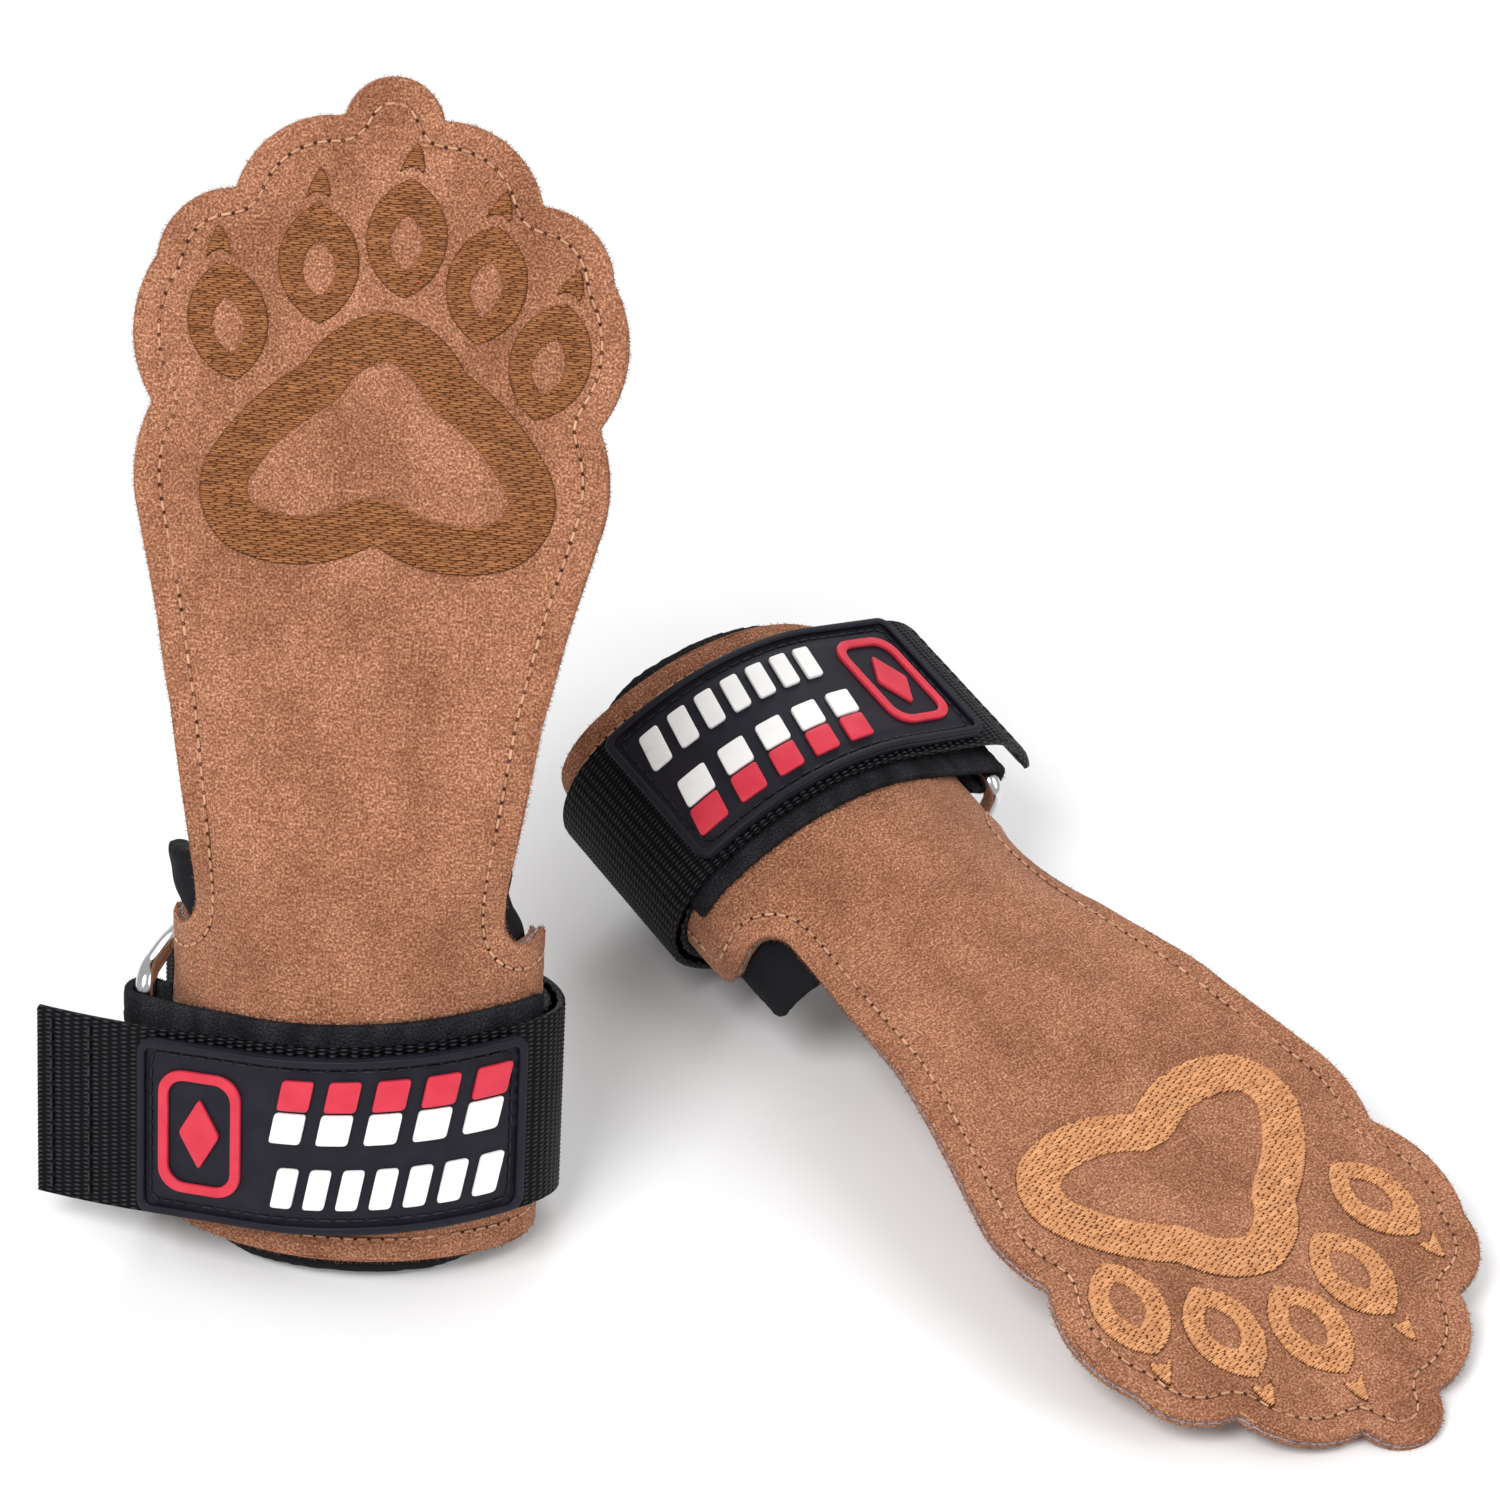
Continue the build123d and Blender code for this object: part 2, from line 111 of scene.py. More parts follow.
def pairs(first, second):
    """Every (i, j) with i below the first count and j below the second, as two flat arrays."""
    return [index.ravel() for index in np.meshgrid(np.arange(first), np.arange(second), indexing="ij")]


# ---- where each grip is
JOINTS = {j["name"]: j for j in frame["joints"]}


class Grip:
    """Places a grip's own millimetres in the row frame, from its joints."""

    def __init__(self, name, tag, forward):
        self.name, self.tag = name, tag
        self.slant = 0.07 if name == "standing" else 0.0
        wrist, finger = JOINTS[name + "_wrist_flex"], JOINTS[name + "_finger_fold"]
        z = unit(np.array(JOINTS[name + "_ring_swing"]["axis"]))
        x = forward * unit(np.array(wrist["axis"]))
        self.axes = np.column_stack((x, np.cross(z, x), z))
        pivot = 1000 * np.array(wrist["pos_m"])
        self.origin = pivot - self.axes @ np.array((0.0, FLAP_Y, WRIST_Z))
        up = self.axes.T @ (1000 * np.array(finger["pos_m"]) - pivot)
        self.bend = math.atan2(up[1], up[2])

    def cuff(self, points):
        """Row-frame metres of points on the cuff or strap, which the rest bend never moves."""
        return (self.origin + np.array(points, float).reshape(-1, 3) @ self.axes.T) / 1000

    def world(self, points):
        """Row-frame metres of points in the grip's own millimetres; the flap takes its rest bend."""
        p = np.array(points, float).reshape(-1, 3)
        angle = self.bend * smooth((p[:, 2] - WRIST_Z + FOLD_HALF) / (2 * FOLD_HALF))
        y, z = p[:, 1] - FLAP_Y, p[:, 2] - WRIST_Z
        bent = np.where(p[:, 2] > WRIST_Z - FOLD_HALF, 1.0, 0.0) * angle
        p[:, 1] = FLAP_Y + y * np.cos(bent) + z * np.sin(bent)
        p[:, 2] = WRIST_Z + z * np.cos(bent) - y * np.sin(bent)
        return self.cuff(p)

    def strap(self, points):
        """Like cuff, for the strap, which a standing grip wears a little lower at its free end."""
        p = np.array(points, float).reshape(-1, 3)
        p[:, 2] += self.slant * p[:, 0] * smooth((6 - p[:, 1]) / 24)
        return self.cuff(p)

    def body(self, part):
        return self.name + "_" + part


GRIPS = [Grip("standing", "a", 1), Grip("lying", "b", -1)]


# ---- paths round the cuff
def oval(start, end, offset=0.0, flip=False):
    """Arcs (centre, signed radius, start, end) round the wrist oval, angles in degrees."""
    quarter = [
        (-JOIN, JOIN, (SIDE_X, 0.0), SIDE_RADIUS),
        (JOIN, 180 - JOIN, (0.0, -FRONT_CENTRE), FRONT_RADIUS),
        (180 - JOIN, 180 + JOIN, (-SIDE_X, 0.0), SIDE_RADIUS),
        (180 + JOIN, 360 - JOIN, (0.0, FRONT_CENTRE), FRONT_RADIUS),
    ]
    low, high = sorted((start, end))
    path = []
    for turn in (-360, 0, 360):
        for first, last, centre, radius in quarter:
            a, b = max(low, first + turn), min(high, last + turn)
            if b - a > 0.01:
                path.append((centre, radius + offset, a, b))
    if start > end:
        path = [(c, r, b, a) for c, r, a, b in reversed(path)]
    return [(c, -r, a + 180, b + 180) for c, r, a, b in path] if flip else path


def tangent_angle(first, first_radius, second, second_radius, side):
    """Normal direction of the line that touches two circles of signed radius."""
    dx, dy = second[0] - first[0], second[1] - first[1]
    spread = math.degrees(math.acos((first_radius - second_radius) / math.hypot(dx, dy)))
    return math.degrees(math.atan2(dy, dx)) % 360 + side * spread


class Path:
    """A line round the cuff, seen along the wrist; arcs are joined by straight runs."""

    def __init__(self, arcs, middle, straight=0.0, curl=0.0):
        points, normals = [], []
        for centre, radius, start, end in arcs:
            normal = circle(np.radians(np.linspace(start, end, max(2, int(abs(end - start) / 2) + 2))))
            points.append(np.array(centre) + radius * normal)
            normals.append(normal)
        points, normals = np.vstack(points), np.vstack(normals)
        n = normals[-1]
        if straight:
            points = np.vstack((points, points[-1] + straight * np.array((n[1], -n[0]))))
            normals = np.vstack((normals, n))
        if curl:
            bent = CURL_LENGTH / math.radians(curl)
            normal = circle(math.atan2(n[1], n[0]) - np.radians(np.linspace(0, curl, 20)[1:]))
            points = np.vstack((points, points[-1] - bent * n + bent * normal))
            normals = np.vstack((normals, normal))
        self.points, self.normals = points, normals
        self.t = distances(points + middle * normals)
        self.length = self.t[-1]

    def __call__(self, t, z, d):
        """Points at a distance along the path, a height and an offset outwards."""
        t, z, d = np.broadcast_arrays(np.asarray(t, float), z, d)
        base = [np.interp(t, self.t, self.points[:, k]) for k in (0, 1)]
        normal = [np.interp(t, self.t, self.normals[:, k]) for k in (0, 1)]
        size = np.hypot(*normal)
        return np.stack((base[0] + d * normal[0] / size, base[1] + d * normal[1] / size, z), -1)

    def near(self, x, y):
        """Distance along the path of its point nearest to (x, y)."""
        return float(self.t[np.argmin(np.hypot(self.points[:, 0] - x, self.points[:, 1] - y))])


def strap_paths(curl=0.0):
    """Lines of the strap; a worn strap's free end may curl round the cuff by some degrees."""
    back, front = (0.0, -FRONT_CENTRE), (0.0, FRONT_CENTRE)
    keeper, fold = 2.2, 3.3
    outer = tangent_angle(back, FRONT_RADIUS + STRAP_IN, FAR_BAR, fold, -1)
    inner = tangent_angle(FAR_BAR, fold, back, -(FRONT_RADIUS + LOOP_THICK), -1)
    leaves = tangent_angle(front, FRONT_RADIUS, NEAR_BAR, keeper, 1)
    straight = TAIL_STRAIGHT - (CURL_LENGTH if curl else 0.0)
    return {
        "outer": Path([(FAR_BAR, fold, outer + 360.1, outer + 360)]
                      + oval(360 + outer, TAIL_LEAVES, STRAP_IN), WEB_THICK / 2, straight, curl),
        "inner": Path([(FAR_BAR, fold, outer, inner)]
                      + oval(inner - 180, STRAP_HINGE - 358, LOOP_THICK, True), WEB_THICK / 2),
        "tail": Path(oval(STRAP_HINGE, TAIL_LEAVES), STRAP_IN, straight, curl),
        "band": Path(oval(STRAP_HINGE + 2, leaves) + [(NEAR_BAR, keeper, leaves, 62)],
                     LOOP_THICK / 2, 4.0),
    }


PATHS = {"standing": strap_paths(), "lying": strap_paths(52.0)}


# ---- mesh helpers
def waves(seed, count, shortest, longest):
    """Smooth random height over (x, z) in millimetres, from a sum of sine waves, about -1 to 1."""
    rng = np.random.default_rng(seed)
    length = np.exp(rng.uniform(math.log(shortest), math.log(longest), count))
    turn, phase = rng.uniform(0, 2 * math.pi, (2, count))
    kx, kz = 2 * math.pi / length * np.cos(turn), 2 * math.pi / length * np.sin(turn)

    def height(x, z):
        total = sum(np.sin(a * x + b * z + c) for a, b, c in zip(kx, kz, phase))
        return total / math.sqrt(count)

    return height


def read(items, attribute, width=3, kind=np.float32):
    """One attribute of many mesh elements as an array."""
    values = np.empty(len(items) * width, kind)
    items.foreach_get(attribute, values)
    return values.reshape(-1, width)


def make_object(name, points, faces, materials, corner_uv, face_slots=None):
    """Smooth mesh from row-frame points; corner_uv has one (u, v) for each face corner in turn."""
    mesh = bpy.data.meshes.new(name)
    mesh.from_pydata(np.asarray(points, float).tolist(), [], [list(map(int, f)) for f in faces])
    for material in materials:
        mesh.materials.append(material)
    layer = mesh.uv_layers.new(name="UVMap")
    layer.data.foreach_set("uv", np.asarray(corner_uv, np.float32).ravel())
    if face_slots is not None:
        mesh.polygons.foreach_set("material_index", np.asarray(face_slots, np.int32))
    mesh.polygons.foreach_set("use_smooth", np.ones(len(mesh.polygons), bool))
    mesh.update()
    piece = bpy.data.objects.new(name, mesh)
    bpy.context.scene.collection.objects.link(piece)
    return piece


def weld(piece):
    """Merge points that lie together."""
    work = bmesh.new()
    work.from_mesh(piece.data)
    bmesh.ops.remove_doubles(work, verts=work.verts, dist=2e-6)
    work.to_mesh(piece.data)
    work.free()


def attach(piece, grip, on, nodes, finish):
    """Rides a piece on a body; given (body, body, start, end) instead, it only bakes the piece's placement
    into its points. It hides the model's parts named by nodes.
    """
    if isinstance(on, str):
        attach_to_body(piece, grip.body(on))
    else:
        grip.body(on[0])
        grip.body(on[1])
        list(on[2:])
        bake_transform(piece)
    if nodes:
        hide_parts(*[f"{node}_{grip.tag}" for node in nodes])


def join_parts(parts):
    """Stacks (points, faces, uv) triples; faces of one part all have the same corner count."""
    points, faces, uv, base = [], [], [], 0
    for p, f, u in parts:
        points.append(np.asarray(p, float).reshape(-1, 3))
        faces += [[int(i) + base for i in face] for face in f]
        uv.append(np.asarray(u, float).reshape(-1, 2))
        base += len(points[-1])
    return np.vstack(points), faces, np.vstack(uv)


def grid_part(points, u, v, wrap=False, flip=False):
    """Quads over points[i, j]; u has a value for each row, v one for each column and one more if wrapped."""
    rows, cols = points.shape[:2]
    i, j = pairs(rows - 1, cols if wrap else cols - 1)
    corners = [(i, j), (i + 1, j), (i + 1, j + 1), (i, j + 1)]
    if flip:
        corners.reverse()
    faces = np.stack([a * cols + b % cols for a, b in corners], 1)
    uv = np.stack([np.stack((u[a], v[b]), -1) for a, b in corners], 1) / UV_SIZE
    return points.reshape(-1, 3), faces, uv.reshape(-1, 2)


def inside(points, loops):
    """Whether each point is inside an odd number of the closed loops."""
    odd = np.zeros(len(points), bool)
    for loop in loops:
        a, b = loop, np.roll(loop, -1, axis=0)
        for start in range(0, len(points), 4000):
            p = points[start:start + 4000]
            above = (a[None, :, 1] > p[:, None, 1]) != (b[None, :, 1] > p[:, None, 1])
            rise = b[:, 1] - a[:, 1]
            rise = np.where(np.abs(rise) < 1e-12, 1e-12, rise)
            cross = a[:, 0] + (p[:, None, 1] - a[:, 1]) / rise * (b[:, 0] - a[:, 0])
            hits = (above & (p[:, None, 0] < cross)).sum(1)
            odd[start:start + 4000] ^= hits % 2 == 1
    return odd


def nearest(points, samples):
    """Distance from each point to the nearest sample."""
    out = np.empty(len(points))
    for start in range(0, len(points), 2000):
        p = points[start:start + 2000]
        gap = (p[:, None, 0] - samples[None, :, 0]) ** 2 + (p[:, None, 1] - samples[None, :, 1]) ** 2
        out[start:start + 2000] = np.sqrt(gap.min(1))
    return out


def resample(loop, pitch):
    """The same closed loop with evenly spaced points."""
    length = distances(closed(loop))[-1]
    return follow(closed(loop), np.linspace(0, length, max(3, int(round(length / pitch))) + 1)[:-1])


def inward(loop):
    """Unit normals of a closed loop, pointing to its left."""
    step = np.roll(loop, -1, axis=0) - np.roll(loop, 1, axis=0)
    step /= np.maximum(np.hypot(*step.T), 1e-9)[:, None]
    return np.column_stack((-step[:, 1], step[:, 0]))


def triangulate(loops, spacing, features=()):
    """Points and triangles that fill the loops; features are open lines kept as edges."""
    points = [tuple(p) for loop in loops for p in loop]
    edges, base = [], 0
    for loop in loops:
        n = len(loop)
        edges += [(base + k, base + (k + 1) % n) for k in range(n)]
        base += n
    for line in features:
        points += [tuple(p) for p in line]
        edges += [(base + k, base + k + 1) for k in range(len(line) - 1)]
        base += len(line)
    fixed = np.array(points)
    low, high = fixed.min(0), fixed.max(0)
    rows = np.arange(low[1], high[1], spacing * 0.87)
    grid = np.array([(x + (k % 2) * spacing / 2, y) for k, y in enumerate(rows)
                     for x in np.arange(low[0], high[0], spacing)])
    grid = grid[inside(grid, loops)]
    if len(grid):
        points += [tuple(p) for p in grid[nearest(grid, fixed) > spacing * 0.6]]
    found = delaunay_2d_cdt([Vector(p) for p in points], edges, [], 0, 1e-6)
    flat = np.array([tuple(v) for v in found[0]])
    faces = np.array([f for f in found[2] if len(f) == 3])
    faces = faces[inside(flat[faces].mean(1), loops)]
    a, b, c = (flat[faces[:, k]] for k in range(3))
    turn = (b[:, 0] - a[:, 0]) * (c[:, 1] - a[:, 1]) - (b[:, 1] - a[:, 1]) * (c[:, 0] - a[:, 0])
    faces[turn < 0] = faces[turn < 0][:, ::-1]
    return flat, faces


def edge_profile(thick, radius):
    """Insets and depths of a rounded cut edge, from the top surface to the bottom one."""
    turn = np.radians((0, 30, 60, 90))
    inset, depth = radius * (1 - np.sin(turn)), radius * (1 - np.cos(turn))
    return list(zip(inset, depth)) + list(zip(inset[::-1], thick - depth[::-1]))


class Plate:
    """A flat pattern cut from sheet: loops run anticlockwise outside and clockwise round holes."""

    def __init__(self, loops, thick, radius, spacing, features=()):
        self.loops, self.thick = loops, thick
        self.profile = edge_profile(thick, min(radius, thick * 0.49))
        shoulders = [loop + self.profile[0][0] * inward(loop) for loop in loops]
        self.flat, self.faces = triangulate(shoulders, spacing, features)

    def parts(self, surface, relief=None, back_relief=None):
        """(points, faces, uv) of top, bottom and walls; surface(s, z, depth) gives grip millimetres."""
        s, z = self.flat.T
        made = []
        for depth, bump, faces in ((0.0, relief, self.faces), (self.thick, back_relief, self.faces[:, ::-1])):
            raised = depth + (bump(s, z) if bump else 0.0)
            made.append((surface(s, z, raised), faces, self.flat[faces.ravel()] / UV_SIZE))
        down = np.array([depth for _, depth in self.profile])
        for loop in self.loops:
            rings = [surface(*(loop + inset * inward(loop)).T, depth) for inset, depth in self.profile]
            along = np.arange(len(loop) + 1) * np.hypot(*(loop[1] - loop[0]))
            points, faces, uv = grid_part(np.stack(rings), down, along, wrap=True)
            made.append((points, faces, uv[:, ::-1]))
        return made


def ribbon_section(half, thick, columns, under, corner=0.5):
    """(z, offset) round a flat strap with rounded selvedges, anticlockwise seen along the strap."""
    across = np.linspace(-half + corner, half - corner, columns)
    below = np.linspace(half - corner, -half + corner, under)
    turn = np.radians((22, 45, 68))
    end_z = half - corner + corner * np.sin(turn)
    end_d = thick / 2 + thick / 2 * np.cos(turn)
    z = np.concatenate((across, end_z, [half], end_z[::-1], below, -end_z, [-half], -end_z[::-1]))
    d = np.concatenate((np.full(columns, thick), end_d, [thick / 2], thick - end_d[::-1],
                        np.zeros(under), thick - end_d, [thick / 2], end_d[::-1]))
    return z, d


def ribbon_part(path, start, end, step, half, thick, inner, columns, under, relief=None, shift=0.0,
                caps=(True, True)):
    """Strap along a path; relief(t, z) raises both faces, whose UVs start on whole rows of the weave."""
    t = np.linspace(start, end, max(3, int(round(abs(end - start) / step)) + 1))
    z, d = ribbon_section(half, thick, columns, under)
    side = np.sign(d - thick / 2) * (np.abs(d - thick / 2) > thick * 0.49)
    tt, zz = np.meshgrid(t, z, indexing="ij")
    dd = inner + d[None, :] + np.zeros_like(tt)
    if relief is not None:
        dd = dd + side[None, :] * relief(tt, zz)
    points = path(tt, zz + shift, dd)
    ring = np.column_stack((z, d))
    around = distances(closed(ring))
    first_row, under_row, under_start = 21, 64, columns + 7
    around += WEAVE_ROW * first_row - z[columns - 1]
    around[under_start:] += WEAVE_ROW * under_row - z[under_start] - around[under_start]
    body = grid_part(points, t, around, wrap=True, flip=True)
    order = np.arange(len(z))
    ends = [(points[k], [order[::turn]], ring[::turn] / UV_SIZE) for k, turn in ((0, -1), (-1, 1))]
    return [body] + [end for end, wanted in zip(ends, caps) if wanted]


def ring_quads(count, rings, sides):
    """Quads between the rings of points of many small pieces, and the (ring, side) of their corners."""
    i, j = pairs(rings - 1, sides)
    corners = [(i, j), (i, j + 1), (i + 1, j + 1), (i + 1, j)]
    quads = np.stack([a * sides + b % sides for a, b in corners], -1)
    return ((np.arange(count) * rings * sides)[:, None, None] + quads).reshape(-1, 4), corners


def tubes(frames, radii, sides):
    """Many tubes at once: frames is (centres, across, up), each (count, rings, 3), in millimetres and
    unit directions, and radii is (count, rings, 2)."""
    centres, across, up = frames
    count, rings = centres.shape[:2]
    turn = np.linspace(0, 2 * math.pi, sides, endpoint=False)
    ring = (radii[..., 0, None, None] * np.cos(turn)[:, None] * across[..., None, :]
            + radii[..., 1, None, None] * np.sin(turn)[:, None] * up[..., None, :])
    points = centres[..., None, :] + ring
    faces, corners = ring_quads(count, rings, sides)
    step = np.linalg.norm(np.diff(centres, axis=1), axis=2)
    along = np.concatenate((np.zeros((count, 1)), np.cumsum(step, 1)), 1) / UV_SIZE
    girth = np.linspace(0, 1, sides + 1) * 2 * math.pi * float(np.mean(radii)) / UV_SIZE
    u = np.stack([along[:, i] for i, _ in corners], -1)
    v = np.broadcast_to(np.stack([girth[j] for _, j in corners], -1), u.shape)
    return points.reshape(-1, 3), faces, np.stack((u.ravel(), v.ravel()), -1)


# ---- materials
class Look:
    """A Principled material built node by node; sizes are millimetres on the piece."""

    def __init__(self, name, roughness, **sockets):
        self.material = bpy.data.materials.new(name)
        self.material.use_nodes = True
        self.tree = self.material.node_tree
        self.shader = self.tree.nodes["Principled BSDF"]
        self.shader.inputs["Roughness"].default_value = roughness
        for socket, value in {"Sheen_Weight": 0.0, **sockets}.items():
            self.shader.inputs[socket.replace("_", " ")].default_value = value
        self.place = self.tree.nodes.new("ShaderNodeUVMap").outputs[0]

    def node(self, kind, inputs=(), **settings):
        made = self.tree.nodes.new(kind)
        for key, value in settings.items():
            setattr(made, key, value)
        for socket, value in dict(inputs).items():
            if isinstance(value, bpy.types.NodeSocket):
                self.tree.links.new(value, made.inputs[socket])
            else:
                made.inputs[socket].default_value = value
        return made

    def spread(self, along, across):
        scale = (UV_SIZE / along, UV_SIZE / across, 1.0)
        return self.node("ShaderNodeMapping", {"Vector": self.place, "Scale": scale}).outputs[0]

    def noise(self, along, across=None, detail=2.0, roughness=0.5):
        vector = self.spread(along, across or along)
        inputs = {"Vector": vector, "Scale": 1.0, "Detail": detail, "Roughness": roughness}
        return self.node("ShaderNodeTexNoise", inputs).outputs["Fac"]

    def streaks(self, size):
        """Distance from a web of thin lines."""
        value = self.noise(size, size * 0.8, detail=4.0, roughness=0.7)
        return self.math("ABSOLUTE", self.math("SUBTRACT", value, 0.5))

    def cells(self, size):
        inputs = {"Vector": self.spread(size, size), "Scale": 1.0}
        return self.node("ShaderNodeTexVoronoi", inputs).outputs["Distance"]

    def ribs(self, pitch, axis):
        """Rounded ribs, one for each pitch."""
        parts = self.node("ShaderNodeSeparateXYZ", {"Vector": self.spread(pitch, pitch)})
        turn = self.math("MULTIPLY", parts.outputs[axis], 2 * math.pi)
        return self.math("MULTIPLY_ADD", self.math("SINE", turn), 0.5, 0.5)

    def math(self, operation, *values):
        return self.node("ShaderNodeMath", dict(enumerate(values)), operation=operation).outputs[0]

    def ramp(self, value, *stops):
        made = self.node("ShaderNodeValToRGB", {"Fac": value})
        points = made.color_ramp.elements
        while len(points) < len(stops):
            points.new(0.5)
        for point, (where, colour) in zip(points, stops):
            point.position = where
            point.color = (*colour, 1.0)
        return made.outputs[0]

    def mix(self, factor, a, b, blend="MIX"):
        made = self.node("ShaderNodeMix", {0: factor, 6: a, 7: b}, data_type="RGBA", blend_type=blend)
        return made.outputs[2]

    def times(self, first, *others):
        """Colours multiplied together."""
        for other in others:
            first = self.mix(1.0, first, other, "MULTIPLY")
        return first

    def colour(self, value):
        self.tree.links.new(value, self.shader.inputs["Base Color"])

    def two_tone(self, value, dark, light, low=0.3, high=0.7):
        self.colour(self.ramp(value, (low, dark), (high, light)))

    def rough(self, value, low, high):
        made = self.node("ShaderNodeMapRange", {"Value": value, "To Min": low, "To Max": high})
        self.tree.links.new(made.outputs[0], self.shader.inputs["Roughness"])

    def bump(self, *layers):
        """Adds layers of (height, millimetres deep), the finest last, and gives the finished material."""
        normal = None
        for height, deep in layers:
            inputs = {"Height": height, "Distance": deep / 1000, "Strength": 1.0}
            made = self.node("ShaderNodeBump", inputs)
            if normal is not None:
                self.tree.links.new(normal, made.inputs["Normal"])
            normal = made.outputs[0]
        self.tree.links.new(normal, self.shader.inputs["Normal"])
        return self.material


def suede_look(name, dark, middle, light):
    look = Look(name, 0.95, Specular_IOR_Level=0.15,
                Sheen_Weight=0.10, Sheen_Roughness=0.5, Sheen_Tint=(1.0, 0.80, 0.62, 1.0))
    grain = look.noise(0.50, detail=3.0, roughness=0.66)
    nap = look.noise(2.3, 1.5, detail=3.0, roughness=0.65)
    cloud = look.noise(17, 24, detail=5.0, roughness=0.62)
    tone = look.ramp(grain, (0.34, dark), (0.49, middle), (0.66, light))
    hairs = look.ramp(look.streaks(2.6), (0.0, (1.30, 1.28, 1.26)), (0.035, (1.0, 1.0, 1.0)))
    matted = look.ramp(nap, (0.30, (0.80, 0.76, 0.73)), (0.68, (1.10, 1.12, 1.13)))
    brushed = look.ramp(cloud, (0.34, (0.74, 0.69, 0.65)), (0.64, (1.12, 1.14, 1.15)))
    look.colour(look.times(tone, brushed, matted, hairs))
    return look.bump((cloud, 0.35), (nap, 0.30), (grain, 0.22))


def thread_look(name, dark, light, roughness=0.5, specular=0.25):
    look = Look(name, roughness, Specular_IOR_Level=specular)
    look.two_tone(look.noise(300, 7), dark, light, 0.34, 0.66)
    return look.bump((look.ribs(0.55, "X"), 0.06))


def webbing_look(name, valley_shade, side, crown):
    """Yarns of the weave, coloured by their height: painted highlight on each float's crown and painted shade
    where it dives, as the light would fall on one black yarn.
    """
    look = Look(name, 0.44, Specular_IOR_Level=0.11)
    parts = look.node("ShaderNodeSeparateXYZ", {"Vector": look.place})
    column = look.math("MULTIPLY", parts.outputs["X"], UV_SIZE / WEAVE_COLUMN)
    number = look.math("FLOOR", column)
    swell = look.math("SINE", look.math("MULTIPLY", look.math("SUBTRACT", column, number), math.pi))
    half = look.math("MULTIPLY", number, 0.5)
    row = look.math("MULTIPLY_ADD", parts.outputs["Y"], UV_SIZE / WEAVE_ROW, half)
    wave = look.math("COSINE", look.math("MULTIPLY", row, 2 * math.pi))
    height = look.math("MULTIPLY", swell, look.math("MULTIPLY_ADD", wave, 0.5, 0.5))
    strand, wear = look.noise(1.4, 0.13), look.noise(7, detail=3.0)
    mixed = look.math("ADD", height, look.math("MULTIPLY_ADD", strand, 0.5, -0.25))
    # painted light: near black in the valleys as painted shade, lighter on the crowns as painted highlight
    tone = look.ramp(mixed, (0.15, valley_shade), (0.50, side), (0.92, crown))
    dusty = look.ramp(wear, (0.3, (0.8, 0.8, 0.8)), (0.7, (1.2, 1.2, 1.2)))
    look.colour(look.times(tone, dusty))
    return look.bump((height, 0.10), (strand, 0.07))


def rubber_look(name, dark, light, roughness, specular):
    look = Look(name, roughness, Specular_IOR_Level=specular)
    mottle, dust = look.noise(5, detail=3.0), look.noise(0.5)
    look.two_tone(mottle, dark, light)
    look.rough(dust, roughness - 0.06, roughness + 0.1)
    return look.bump((mottle, 0.05), (dust, 0.012))


def interlining_look():
    look = Look("interlining", 0.8)
    fleck = look.noise(1.2, 0.35, detail=3.0)
    look.two_tone(fleck, (0.03, 0.026, 0.034), (0.42, 0.36, 0.40), 0.38, 0.54)
    return look.bump((fleck, 0.08))


def dark_look(name, roughness, size, dark, light, specular):
    """A matt mottled dark tone without relief, painted shade for what lies deep: the floors of needle holes,
    and a sheet under the fills that shows as shade in the gaps between stitches.
    """
    look = Look(name, roughness, Specular_IOR_Level=specular)
    look.two_tone(look.noise(size), dark, light)
    return look.material


def pad_look():
    look = Look("pad_knit", 0.85, Specular_IOR_Level=0.18)
    courses, fibre, press = look.ribs(0.8, "Y"), look.noise(0.35, detail=3.0), look.noise(11, detail=3.0)
    black, grey = (0.003, 0.003, 0.004), (0.014, 0.014, 0.018)
    fleck = look.ramp(fibre, (0.3, black), (0.75, grey))
    look.colour(look.mix(0.35, fleck, look.ramp(press, (0.3, black), (0.7, grey))))
    return look.bump((press, 0.4), (courses, 0.07), (fibre, 0.05))


def jersey_look():
    look = Look("pad_jersey", 0.9, Specular_IOR_Level=0.2)
    wales, fluff = look.ribs(1.1, "X"), look.noise(0.5, 0.9, detail=3.0)
    look.two_tone(fluff, (0.006, 0.006, 0.008), (0.026, 0.026, 0.030))
    return look.bump((wales, 0.12), (fluff, 0.08))


def pile_look():
    look = Look("loop_pile", 0.95, Specular_IOR_Level=0.15)
    loops, fuzz, rubbed = look.cells(0.75), look.noise(0.4, detail=4.0), look.noise(5, 9, detail=3.0)
    woolly = look.ramp(fuzz, (0.32, (0.003, 0.003, 0.004)), (0.68, (0.030, 0.029, 0.034)))
    look.colour(look.times(woolly, look.ramp(rubbed, (0.35, (0.6, 0.6, 0.6)), (0.65, (1.5, 1.5, 1.5)))))
    return look.bump((loops, 0.25), (fuzz, 0.16))


def hook_look():
    look = Look("hook_field", 0.6, Specular_IOR_Level=0.25)
    bristle = look.cells(0.9)
    look.two_tone(bristle, (0.035, 0.035, 0.04), (0.006, 0.006, 0.007), 0.1)
    return look.bump((bristle, 0.3))


def chrome_look():
    look = Look("ring_chrome", 0.12, Metallic=1.0)
    haze, scratch = look.noise(6, detail=3.0), look.noise(14, 0.25)
    look.two_tone(haze, (0.62, 0.62, 0.64), (0.74, 0.74, 0.76))
    look.rough(haze, 0.07, 0.2)
    return look.bump((scratch, 0.003))


